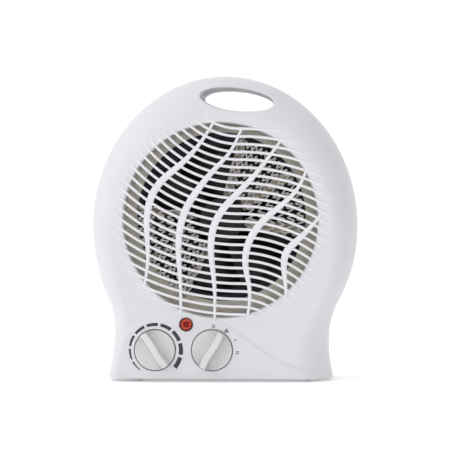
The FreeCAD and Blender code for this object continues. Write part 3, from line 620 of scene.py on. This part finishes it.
def grip_outline(grow, count=160):
    """The carrying hole's tilted oval."""
    turn = np.linspace(0, 2 * math.pi, count, endpoint=False)
    along = (GRIP_WIDE + grow) * np.cos(turn)
    up = (GRIP_TALL + grow) * np.sin(turn)
    x = GRIP_X + along * math.cos(GRIP_TILT) + up * math.sin(GRIP_TILT)
    return x, GRIP_Z - along * math.sin(GRIP_TILT) + up * math.cos(GRIP_TILT)


def mouth_cutter(name, outline, lip, back, skin, direction, flare=None):
    """A cutter for an opening whose edge is rounded over where it meets the skin."""
    flare = flare or (lambda depth: np.zeros(np.shape(depth)))

    def ring(grow, dip):
        x, z = outline(grow)
        y = skin(x, z) - direction * dip
        grown = grow + flare(y)
        x, z = outline_at(outline, grown)
        return np.c_[x, skin(x, z) - direction * dip, z]

    outermost = ring(lip + 2.0, -2.0)
    clear = outermost.copy()
    clear[:, 1] = direction * 80.0
    rings = [clear, outermost]
    for turn in np.linspace(math.radians(LIP_START), math.pi / 2, 9):
        rings.append(ring(lip * (1 - math.sin(turn)), lip * (1 - math.cos(turn))))
    start = rings[-1][:, 1]
    for share in (0.25, 0.5, 0.75, 1.0):
        y = start * (1 - share) + back * share
        x, z = outline_at(outline, flare(y))
        rings.append(np.c_[x, y, z])
    return solid_from(name, rings)


def outline_at(outline, grown):
    """An outline's points, each grown by its own amount."""
    if np.isscalar(grown):
        return outline(grown)
    x0, z0 = outline(0.0)
    x1, z1 = outline(1.0)
    return x0 + (x1 - x0) * grown, z0 + (z1 - z0) * grown


def front_flare(depth):
    """How much wider the carrying hole is at a depth, towards its front mouth."""
    return GRIP_FLARE * np.clip((np.abs(depth) - GRIP_STRAIGHT) / (60 - GRIP_STRAIGHT), 0, 1)


def channel_blank(name, direction, flare):
    """The carrying hole with its walls, to be left standing in the cavity."""
    rings = []
    for depth in (-3.0, 10.0, 22.0, 34.0, 46.0, 62.0):
        x, z = grip_outline(WALL + float(flare(depth)) * (depth > 0))
        rings.append(np.c_[x, np.full(len(x), direction * depth), z])
    return solid_from(name, rings)


def peg(radius, start, end, x, z, count=32):
    """A front-to-back cylinder as rings."""
    turn = np.linspace(0, 2 * math.pi, count, endpoint=False)
    return [
        np.c_[x + radius * np.cos(turn), np.full(count, depth), z + radius * np.sin(turn)]
        for depth in (start, end)
    ]


def post(radius, low, high, x, y, count=32):
    """An upright cylinder as rings."""
    turn = np.linspace(0, 2 * math.pi, count, endpoint=False)
    return [
        np.c_[x + radius * np.cos(turn), y + radius * np.sin(turn), np.full(count, height)]
        for height in (low, high)
    ]


def around(reach, angles):
    """Places spread about the fan's axis."""
    return [
        (AXIS.x + reach * math.cos(math.radians(angle)), AXIS.z + reach * math.sin(math.radians(angle)))
        for angle in angles
    ]


# ---------------------------------------------------------------- the front case half; the rear one stays CAD

CASE_BOSSES = around(96.0, (50, 130, 230, 310))
HEATER_BOSSES = around(91.0, (20, 160, 200, 340))


def make_front_shell():
    """The front half of the case."""
    outer_rings = [with_panel(ring) for ring in case_rings(FRONT)]
    shell = solid_from("front_case", outer_rings)
    cavity = solid_from("cavity", case_rings(FRONT, WALL, (120, 50), 13, 8, 60.0))
    mica = box_mm("mica_frame")[0].y
    blanks = [channel_blank("channel", -1, front_flare)]
    blanks += [solid_from("boss", peg(4.5, -FACE_DEPTH - 2, 3, x, z)) for x, z in CASE_BOSSES]
    blanks += [solid_from("boss", peg(4.0, -FACE_DEPTH - 2, mica, x, z)) for x, z in HEATER_BOSSES]
    carved(cavity, blanks)
    cutters = [cavity, mouth_cutter(
        "grip", grip_outline, GRIP_LIP, 2.0, front_skin, -1, front_flare)]
    cutters.append(mouth_cutter(
        "outlet", round_outline(AXIS.x, AXIS.z, OUTLET, 320), 0.8, -38.0, front_skin, -1))
    for name in KNOBS:
        knob = middle_of(name + "_knob")
        hole = round_outline(knob.x, knob.z, knob_radius(name) + KNOB_GAP, 96)
        cutters.append(mouth_cutter("knob", hole, 0.5, -44.0, front_skin, -1))
    cutters.append(mouth_cutter(
        "lens", round_outline(LENS.x, LENS.z, LENS_RADIUS + 0.15, 48), 0.3, -44.0, front_skin, -1))
    cutters += [solid_from("hole", peg(1.7, -15, 5, x, z)) for x, z in CASE_BOSSES]
    cutters += foot_holes("foot_front_left", "foot_front_right")
    carved(shell, cutters)
    return finish_piece(shell, "case", "case", "case_plastic", "front_shell", weighted=True)


def knob_radius(name):
    """Half the width of a knob."""
    low, high = box_mm(name + "_knob")
    return (high.x - low.x) / 2


def foot_holes(*names):
    """Cutters for the holes that the feet's stems plug into."""
    places = [middle_of(name) for name in names]
    return [solid_from("foot_hole", post(2.05, -2, 12, place.x, place.y)) for place in places]


# ---------------------------------------------------------------- outlet grille

def slat_line(level):
    """A slat's centre line from left to right, as evenly spread (x, z) points."""
    left = ARC_ABOVE - level
    right = level - ARC_BELOW
    halves = []
    for radius, side in ((left, -1), (right, 1)):
        turns = np.arange(0, math.pi / 2, 1.1 / radius)
        x = SLAT_MEET + side * radius * np.sin(turns)
        z = ARC_ABOVE - radius * np.cos(turns) if side < 0 else ARC_BELOW + radius * np.cos(turns)
        outside = np.hypot(x - AXIS.x, z - AXIS.z) - OUTLET
        past = np.nonzero(outside > ridge_length(x, z))[0]
        end = past[0] + 1 if len(past) else len(x)
        halves.append(np.c_[x, z][:end])
    return np.concatenate([halves[0][:0:-1], halves[1]])


def ridge_length(x, z):
    """How far a slat runs on over the face as a fading ridge, by where it leaves the outlet."""
    turn = np.arctan2(z - AXIS.z, x - AXIS.x)
    return 5.0 + 4.0 * np.abs(np.cos(turn)) + np.where(x > AXIS.x, 4.0 * np.abs(np.cos(turn)), 0.0)


def bar_rings(line, widths, front, crown, fade_over):
    """Rings along a bar whose front is rounded; past the outlet it lies on the face and fades."""
    line = np.asarray(line, float)
    along = np.gradient(line, axis=0)
    along /= np.linalg.norm(along, axis=1)[:, None]
    across = np.c_[-along[:, 1], along[:, 0]]
    outside = np.hypot(line[:, 0] - AXIS.x, line[:, 1] - AXIS.z) - OUTLET
    fade = np.clip(1 - outside / fade_over, 0, 1)
    skin = front_skin(line[:, 0], line[:, 1])
    proud = (-FACE_DEPTH - front) * np.where(outside > 0, fade ** 0.8, 1.0)
    top = np.where(outside > 0, skin - proud, front)
    top = np.minimum(top, skin + 0.3)
    back = np.where(outside > 0.6, skin + 1.0, front + SLAT_DEEP)
    rings = []
    for i, point in enumerate(line):
        half = widths[i] / 2 * (0.35 + 0.65 * min(1.0, fade[i] * 2.5))
        rise = min(crown, back[i] - top[i] - 0.2)
        profile = [(half * math.sin(turn), top[i] + rise * (1 - math.cos(turn)))
                   for turn in np.linspace(-math.pi / 2, math.pi / 2, 9)]
        profile = [(-half * 0.82, back[i])] + profile + [(half * 0.82, back[i])]
        rings.append(np.array([
            (point[0] + across[i][0] * aside, depth, point[1] + across[i][1] * aside)
            for aside, depth in profile
        ]))
    return rings


def make_grille():
    """Slats and ribs with the rim that they are moulded to."""
    parts = []
    for row in range(SLAT_COUNT):
        line = slat_line(SLAT_TOP - SLAT_PITCH * row)
        rings = bar_rings(line, np.full(len(line), SLAT_THICK), SLAT_FRONT, 1.0, slat_fade(line))
        parts.append(lofted(rings))
    for path in RIB_PATHS:
        line = extended(spline_through(path, 110), 3.0)
        swell = np.sin(np.pi * np.linspace(0, 1, len(line)))
        rings = bar_rings(line, 2.3 + 3.8 * swell ** 2, SLAT_FRONT, 1.3, np.full(len(line), 5.0))
        parts.append(lofted(rings))
    behind = GRILLE_LOW.y + 4.1
    rim = [(OUTLET + 2.2, behind), (OUTLET + 2.2, behind + 3), (OUTLET - 0.7, behind + 3),
           (OUTLET - 0.7, behind), (OUTLET + 2.2, behind)]
    parts.append(turned(rim, (AXIS.x, 0, AXIS.z), 1.0, 200))
    grille = joined("outlet_grille", parts)
    return finish_piece(grille, "grille", "case", "case_plastic", "front_grille", sharp=50)


def slat_fade(line):
    """The fading length at each point of a slat."""
    return ridge_length(line[:, 0], line[:, 1])


def extended(line, by):
    """A line made longer at both ends, straight on."""
    first = line[0] + (line[0] - line[1]) / np.linalg.norm(line[0] - line[1]) * by
    last = line[-1] + (line[-1] - line[-2]) / np.linalg.norm(line[-1] - line[-2]) * by
    head = np.linspace(first, line[0], 4)[:-1]
    tail = np.linspace(line[-1], last, 4)[1:]
    return np.concatenate([head, line, tail])


# ---------------------------------------------------------------- knobs

def bar_bend(along):
    """How far the grip bar leans aside at a place along the pointer."""
    return -0.0004 * along ** 3


def knob_section(along, radius, disc, top):
    """One line across a knob: (aside, height) from its left rim over the bar to its right rim."""
    reach = math.sqrt(max(radius ** 2 - along ** 2, 0.0))
    centre = bar_bend(along)
    half, foot_out = 2.65, 0.8
    crest = top - 1.2 * (abs(along) / radius) ** 2.5
    crest -= 1.6 * float(smooth((abs(along) - radius + 1.6) / 1.6))
    sides = []
    for side in (-1, 1):
        foot = max(-reach, min(reach, centre + side * (half + foot_out)))
        rim = side * reach
        width = abs(rim - foot)
        row = []
        for share in np.linspace(1, 0, 18):
            dish = 3.4 * (1 - share) ** 0.9 * float(smooth(width / 7.0))
            edge = 0.8 * float(smooth((share - 0.93) / 0.07))
            row.append((foot + (rim - foot) * share, disc - dish - edge))
        base = row[-1][1]
        for share in np.linspace(0.15, 1, 7):
            inward = centre + side * (half + foot_out * (1 - share) ** 2)
            row.append((inward, base + (crest - 0.8 - base) * share ** 1.3))
        for turn in np.linspace(0.35, math.pi / 2, 4):
            inward = centre + side * (half - 0.8 * (1 - math.cos(turn)))
            row.append((inward, crest - 0.8 * (1 - math.sin(turn))))
        sides.append(row)
    flat = half - 0.8
    dimple = radius - 3.7
    middle = []
    for aside in np.linspace(-flat, flat, 13)[1:-1]:
        away = math.hypot(aside, along - dimple)
        middle.append((centre + aside, crest - 0.5 * float(smooth(1.25 - away))))
    row = sides[0] + middle + sides[1][::-1]
    return [(max(-reach, min(reach, aside)), height) for aside, height in row]


def make_knob(name, pointer):
    """A round knob: an S-shaped grip bar between two scooped halves, dimpled at the pointer."""
    low, high = box_mm(name + "_knob")
    centre = (low + high) / 2
    radius = knob_radius(name)
    disc = 10.0
    stations = radius * 0.9995 * np.sin(np.linspace(-math.pi / 2, math.pi / 2, 100))
    rows = [knob_section(along, radius, disc, high.y - low.y) for along in stations]
    count = len(rows[0])
    turn = math.radians(pointer)
    points = []
    for along, row in zip(stations, rows):
        for aside, height in row:
            x = along * math.sin(turn) + aside * math.cos(turn)
            z = along * math.cos(turn) - aside * math.sin(turn)
            points.append((centre.x + x, high.y - height, centre.z + z))
    faces = []
    for row in range(len(rows) - 1):
        for i in range(count - 1):
            here = row * count + i
            faces.append((here, here + 1, here + count + 1, here + count))
    rim = [row * count for row in range(len(rows))]
    rim += [(len(rows) - 1) * count + i for i in range(1, count)]
    rim += [row * count + count - 1 for row in range(len(rows) - 2, -1, -1)]
    rim += [i for i in range(count - 2, 0, -1)]
    start = len(points)
    points += [(points[index][0], high.y, points[index][2]) for index in rim]
    total = len(rim)
    for i in range(total):
        j = (i + 1) % total
        faces.append((rim[i], rim[j], start + j, start + i))
    faces.append(tuple(range(start, start + total)))
    knob = mesh_from(name + "_grip", points, faces)
    return finish_piece(knob, "knob", name, "knob_plastic", name + "_knob", sharp=40)


# ---------------------------------------------------------------- printed marks

def print_patch(outline_points):
    """A thin raised patch of ink over an outline in the front view."""
    outline_points = np.asarray(outline_points, float)
    skin = front_skin(outline_points[:, 0], outline_points[:, 1])
    rings = [
        np.c_[outline_points[:, 0], skin + 0.1, outline_points[:, 1]],
        np.c_[outline_points[:, 0], skin - PRINT_THICK, outline_points[:, 1]],
    ]
    return lofted(rings)


def on_dial(centre, clockwise, radius):
    """A point at an angle clockwise from the top of a dial."""
    turn = math.radians(clockwise)
    return centre.x + radius * math.sin(turn), centre.z + radius * math.cos(turn)


def dash(centre, start, end, inner, outer_start, outer_end):
    """One dash of the thermostat's scale, wider at its end."""
    angles = np.linspace(start, end, 12)
    outer = np.linspace(outer_start, outer_end, 12)
    points = [on_dial(centre, angle, inner) for angle in angles]
    points += [on_dial(centre, angle, reach) for angle, reach in zip(angles[::-1], outer[::-1])]
    return print_patch(points)


def stroke(centre, clockwise, radius, aside, length, width, slant=0.0):
    """A short straight stroke at a place beside a dial, upright to the radius."""
    turn = math.radians(clockwise)
    out = np.array([math.sin(turn), math.cos(turn)])
    side = np.array([math.cos(turn), -math.sin(turn)])
    middle = np.array([centre.x, centre.z]) + out * radius + side * aside
    lean = math.radians(slant)
    way = out * math.cos(lean) + side * math.sin(lean)
    across = np.array([way[1], -way[0]])
    corners = [middle + way * a * length / 2 + across * b * width / 2
               for a, b in ((1, 1), (-1, 1), (-1, -1), (1, -1))]
    return print_patch(corners)


def ring_print(x, z, wide, tall, line):
    """An oval ring of ink, in two halves."""
    parts = []
    for start in (0, math.pi):
        turns = np.linspace(start, start + math.pi, 16)
        outer = [(x + wide * math.cos(t), z + tall * math.sin(t)) for t in turns]
        inner = [(x + (wide - line) * math.cos(t), z + (tall - line) * math.sin(t)) for t in turns[::-1]]
        parts.append(print_patch(outer + inner))
    return parts


def make_prints():
    """The thermostat's swelling scale, and 0, fan, I and II beside the selector."""
    dial = middle_of("thermostat_spindle")
    radius = knob_radius("thermostat")
    inner = radius + 3.4
    marks = []
    first, last, count, gap = -143.0, 131.0, 9, 6.0
    span = (last - first + gap) / count
    for number in range(count):
        start = first + span * number
        reach = [inner + 0.8 + 3.0 * ((number + end) / count) ** 0.8 for end in (0, 1)]
        marks.append(dash(dial, start, start + span - gap, inner, *reach))
    selector = middle_of("selector_spindle")
    zero = on_dial(selector, 3.6, radius + 3.3)
    marks += ring_print(*zero, 1.1, 1.6, 0.5)
    for angle, aside in ((66.5, 0.0), (95.5, -0.8), (95.5, 0.8)):
        marks.append(stroke(selector, angle, radius + 4.6, aside, 2.6, 0.6))
    fan = on_dial(selector, 37.0, radius + 3.4)
    for number in range(3):
        turn = math.radians(90 + 120 * number)
        petal = (fan[0] + 1.05 * math.cos(turn), fan[1] + 1.05 * math.sin(turn))
        marks += ring_print(*petal, 0.85, 0.85, 0.55)
    prints = joined("dial_prints", marks)
    return finish_piece(prints, "ink", "case", "case_plastic")


# ---------------------------------------------------------------- indicator

def make_indicator():
    """The hollow red dome, and the pale cup and dark lamp holder that show through it."""
    front = FACE_DEPTH
    crown = 3.6
    wall = 0.9
    dome = [(0.0, front + crown)]
    for turn in np.linspace(0.12, math.pi / 2, 14):
        dome.append((LENS_RADIUS * math.sin(turn), front + crown * math.cos(turn)))
    dome += [(LENS_RADIUS, front - 2.4), (7.2, front - 2.5), (7.2, front - 4.0)]
    dome += [(LENS_RADIUS - wall, front - 4.0), (LENS_RADIUS - wall, front)]
    for turn in np.linspace(math.pi / 2, 0.12, 10)[1:]:
        dome.append(((LENS_RADIUS - wall) * math.sin(turn), front + (crown - wall) * math.cos(turn)))
    dome.append((0.0, front + crown - wall))
    lens = joined("indicator_dome", [turned(dome, (LENS.x, 0, LENS.z), -1.0, 64)])
    finish_piece(lens, "lens", "case", "lens_red", "indicator_lens")
    profile = [(0.0, front - 1.2), (4.2, front - 1.2), (4.5, front - 0.9), (4.5, front - 2.2),
               (0.0, front - 2.2)]
    cup = joined("indicator_cup", [turned(profile, (LENS.x, 0, LENS.z), -1.0, 48)])
    finish_piece(cup, "cup", "case", "lens_red")
    half = 2.2
    corners = [(half, half), (-half, half), (-half, -half), (half, -half)]
    rings = [
        np.array([(LENS.x + x * s, -front - depth, LENS.z + z * s) for x, z in corners])
        for s, depth in ((1.0, -1.15), (1.0, 1.2), (0.85, 1.5))
    ]
    core = joined("indicator_core", [lofted(rings)])
    finish_piece(core, "core", "case", "lens_red")


# ---------------------------------------------------------------- heating element

RIBBON_SECTORS = {"lower_left": (172.0, 243.0), "upper_right": (-8.0, 75.0)}
RIBBON_FIRST, RIBBON_PITCH, RIBBON_TURNS = 26.0, 8.0, 6


def crimped_line(first, last):
    """The crimped ribbon's line: arcs to and fro across a sector, folded in radial strokes."""
    points = []
    swing = 3.3
    pitch = 4.4
    for turn in range(RIBBON_TURNS):
        radius = RIBBON_FIRST + RIBBON_PITCH * turn + 0.3
        slack = math.degrees(3.2 / radius)
        angles = (first - slack, last + slack)
        start, end = angles if turn % 2 == 0 else angles[::-1]
        folds = int(abs(math.radians(end - start)) * radius / (pitch / 2))
        for fold in range(folds + 1):
            angle = math.radians(start + (end - start) * fold / folds)
            reach = radius + (swing if fold % 2 else -swing) * RNG.uniform(0.86, 1.0)
            jitter = RNG.uniform(-0.12, 0.12) / radius
            points.append((AXIS.x + reach * math.cos(angle + jitter),
                           AXIS.z + reach * math.sin(angle + jitter)))
    return np.array(points)


def rounded_line(line, cut=0.22):
    """A folded line with each fold's tip cut to a small round."""
    out = [line[0]]
    for i in range(1, len(line) - 1):
        before, here, after = line[i - 1], line[i], line[i + 1]
        out.append(here + (before - here) * cut * 0.6)
        out.append(here + ((before + after) / 2 - here) * 0.05)
        out.append(here + (after - here) * cut * 0.6)
    out.append(line[-1])
    return np.array(out)


def make_ribbon(side):
    """One crimped resistance ribbon."""
    first, last = RIBBON_SECTORS[side]
    line = rounded_line(crimped_line(first, last))
    low, high = box_mm("heating_ribbon_" + side)
    along = np.gradient(line, axis=0)
    along /= np.linalg.norm(along, axis=1)[:, None]
    across = np.c_[-along[:, 1], along[:, 0]] * 0.6
    rings = []
    for point, aside in zip(line, across):
        one, other = point + aside, point - aside
        rings.append(np.array([
            (one[0], low.y, one[1]), (other[0], low.y, other[1]),
            (other[0], high.y, other[1]), (one[0], high.y, one[1]),
        ]))
    ribbon = joined("crimped_ribbon_" + side, [lofted(rings)])
    finish_piece(ribbon, "ribbon", "case", "ribbon_steel", "heating_ribbon_" + side, sharp=50)


FIN_ANGLES = (172.0, 207.5, 243.0, -8.0, 33.5, 75.0)
FIN_LEANS = (0.5, -0.42, 0.5, 1.15, -1.0, 0.9)


def make_card(number, angle):
    """One mica card: leaning over, notched along its front edge for the ribbon's turns."""
    low, high = box_mm(f"mica_fin_{number}")
    way = math.radians(angle)
    along = np.array([math.cos(way), 0, math.sin(way)])
    across = np.array([-math.sin(way), 0, math.cos(way)])
    lean = FIN_LEANS[number - 1]
    rings = []
    for reach in np.linspace(20.2, 71.8, 120):
        turn = (reach - RIBBON_FIRST) / RIBBON_PITCH
        notch = float(smooth(2.4 - 8.0 * abs(turn - round(turn)))) if -0.5 < turn < 5.5 else 0.0
        tip = float(smooth((reach - 66.0) / 5.0)) + float(smooth((24.0 - reach) / 3.0))
        front = low.y + 0.1 + 2.6 * notch + 2.5 * tip
        ring = []
        for aside, depth in ((-0.35, front), (0.35, front), (0.35, high.y - 0.15), (-0.35, high.y - 0.15)):
            middle = np.array([AXIS.x, depth, AXIS.z]) + along * reach
            ring.append(middle + across * (aside + lean * (depth - (low.y + high.y) / 2)))
        rings.append(np.array(ring))
    card = joined(f"mica_card_{number}", [lofted(rings)])
    finish_piece(card, "fin", "case", "mica", f"mica_fin_{number}", sharp=30)


def make_duct_lip():
    """The duct's inward lip behind the blade tips, coloured black as painted shade."""
    axis = middle_of("fan_duct")
    profile = [(54.5, -9.4), (61.8, -9.4), (61.8, -10.4), (54.5, -10.4), (54.0, -9.9), (54.5, -9.4)]
    lip = joined("duct_lip", [turned(profile, (axis.x, 0, axis.z), -1.0, 120)])
    finish_piece(lip, "black", "case", "zinc_steel")


# ---------------------------------------------------------------- fan


def make_fan():
    """The impeller: swept, cambered blades on a domed hub."""
    centre = middle_of("fan_impeller")
    hub = 12.0
    parts = []
    for number in range(7):
        rings = []
        for share in np.linspace(0, 1, 14):
            radius = (hub - 2.5) + (57.0 - hub + 2.5) * share
            chord = 2 * math.pi / 7 * max(radius, 14.0) * 1.03
            deep = 11.0 + 2.5 * share
            chord *= 1.0 - 0.22 * max(0.0, share - 0.9) / 0.1
            upper, lower = [], []
            for u in np.linspace(-0.5, 0.5, 13):
                swept = 4.0 * share ** 2
                angle = math.radians(360 / 7 * number) + (u * chord + swept) / max(radius, 14.0)
                camber = 1.8 * math.cos(math.pi * u)
                thick = 0.35 + 0.55 * math.cos(math.pi * u)
                y = u * deep - camber
                x = AXIS.x + radius * math.cos(angle)
                z = AXIS.z + radius * math.sin(angle)
                upper.append((x, centre.y + y - thick, z))
                lower.append((x, centre.y + y + thick, z))
            rings.append(np.array(upper + lower[::-1]))
        parts.append(lofted(rings))
    half = 7.0
    nose = [(0.0, half), (4.0, half - 0.15), (8.0, half - 0.8), (10.6, half - 2.0), (hub, half - 4.0),
            (hub, -half), (2.5, -half), (2.5, half - 3.2), (0.0, half - 3.2)]
    parts.append(turned(nose, (AXIS.x, centre.y, AXIS.z), -1.0, 64))
    fan = joined("axial_fan", parts)
    finish_piece(fan, "fan", "fan", "fan_dark", "fan_impeller")


# ---------------------------------------------------------------- finishes of the CAD nodes that stay

NODE_FINISH = {
    "rear_shell": "case",
    "thermostat_spindle": "zinc", "selector_spindle": "zinc", "thermostat_body": "black",
    "selector_switch": "black", "control_plate": "zinc", "neon_lamp": "core", "mica_frame": "mica",
    "element_bracket": "black",
    # fan_duct and motor_spider take the near-black duct colour, which is painted shade
    "heater_plate": "zinc", "thermal_cutout": "black", "fan_duct": "duct", "motor_spider": "duct",
    "motor_stator": "stack", "motor_coil": "tape", "motor_rotor": "stack", "motor_shaft": "zinc",
    "front_bearing_bridge": "zinc", "rear_bearing_bridge": "zinc", "motor_screws": "screw",
    "foot_front_left": "rubber", "foot_front_right": "rubber", "foot_rear_left": "rubber",
    "foot_rear_right": "rubber", "tip_switch": "black", "tip_pin": "nylon", "cord_gland": "black",
    "terminal_block": "nylon", "case_screws": "screw", "heater_screws": "screw",
    "control_plate_screws": "screw",
}
SOFT_EDGED = ("cord_gland", "tip_pin", "motor_stator", "motor_coil", "terminal_block", "tip_switch")


def finish_nodes():
    """Gives every CAD node that stays its material, and some a softened edge."""
    for name, material in NODE_FINISH.items():
        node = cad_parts[name]
        node.data.materials.clear()
        node.data.materials.append(MATERIALS[material])
        if name in SOFT_EDGED:
            modifier = node.modifiers.new("edges", "BEVEL")
            modifier.width = 0.4 * MM
            modifier.segments = 2
            modifier.limit_method = "ANGLE"


# ---------------------------------------------------------------- stage

def make_stage():
    """A pale floor that runs on under the heater."""
    floor = mesh_from("floor", [(-4000, -3000, 0), (4000, -3000, 0), (4000, 9000, 0), (-4000, 9000, 0)],
                      [(0, 1, 2, 3)])
    material, shader = new_material("pale_floor")
    shader.inputs["Base Color"].default_value = (0.92, 0.92, 0.92, 1)
    shader.inputs["Roughness"].default_value = 0.9
    shader.inputs["Emission Color"].default_value = (1, 1, 1, 1)
    shader.inputs["Emission Strength"].default_value = 0.22
    floor.data.materials.append(material)


def make_world():
    """A white surround: pure white behind the heater, softer in front, brighter to the left."""
    world = bpy.data.worlds.new("studio")
    scene.world = world
    world.use_nodes = True
    tree = world.node_tree
    background = tree.nodes["Background"]
    coordinates = tree.nodes.new("ShaderNodeTexCoord")
    parts = tree.nodes.new("ShaderNodeSeparateXYZ")
    tree.links.new(coordinates.outputs["Generated"], parts.inputs["Vector"])
    left = spread(tree, parts.outputs["X"], 1.0, 0.1, -1.0, -0.1)
    above = spread(tree, parts.outputs["Z"], 0.0, 0.95, 0.0, 0.9)
    front = tree.nodes.new("ShaderNodeMath")
    tree.links.new(left, front.inputs[0])
    tree.links.new(above, front.inputs[1])
    behind = spread(tree, parts.outputs["Y"], 0.0, 1.0, 0.1, 0.7)
    blend = tree.nodes.new("ShaderNodeMix")
    blend.inputs["B"].default_value = 1.06
    tree.links.new(behind, blend.inputs["Factor"])
    tree.links.new(front.outputs[0], blend.inputs["A"])
    tree.links.new(blend.outputs["Result"], background.inputs["Strength"])
    background.inputs["Color"].default_value = (1, 1, 1, 1)


def area_light(name, place, target, size, power):
    """A soft square light aimed at a point, both in millimetres."""
    data = bpy.data.lights.new(name, "AREA")
    data.size = size * MM
    data.energy = power
    light = bpy.data.objects.new(name, data)
    scene.collection.objects.link(light)
    light.location = Vector(place) * MM
    aim = (Vector(target) - Vector(place)).to_track_quat("-Z", "Y")
    light.rotation_mode = "QUATERNION"
    light.rotation_quaternion = aim


def make_camera():
    """A long lens level with the heater's middle, a little to its right."""
    data = bpy.data.cameras.new("camera")
    camera = bpy.data.objects.new("camera", data)
    scene.collection.objects.link(camera)
    distance = 2000.0
    view_width = 384.2
    data.sensor_width = 36.0
    data.lens = data.sensor_width * distance / view_width
    data.clip_end = 50.0
    turn = math.radians(2.5)
    camera.location = Vector((distance * math.sin(turn), -distance * math.cos(turn), 129.5)) * MM
    camera.rotation_euler = (math.pi / 2, 0, turn)
    scene.camera = camera


RNG = random.Random(7)

make_front_shell()
make_grille()
for name, pointer in KNOBS.items():
    make_knob(name, pointer)
make_prints()
make_indicator()
for side in RIBBON_SECTORS:
    make_ribbon(side)
for number, angle in enumerate(FIN_ANGLES, start=1):
    make_card(number, angle)
make_duct_lip()
make_fan()
finish_nodes()
make_stage()
make_world()
area_light("key", (-1100, -1300, 1100), (0, 0, 130), 900, 3.0)
area_light("front", (100, -2600, 300), (0, 0, 130), 1200, 9.5)
make_camera()
scene.view_settings.view_transform = "Standard"
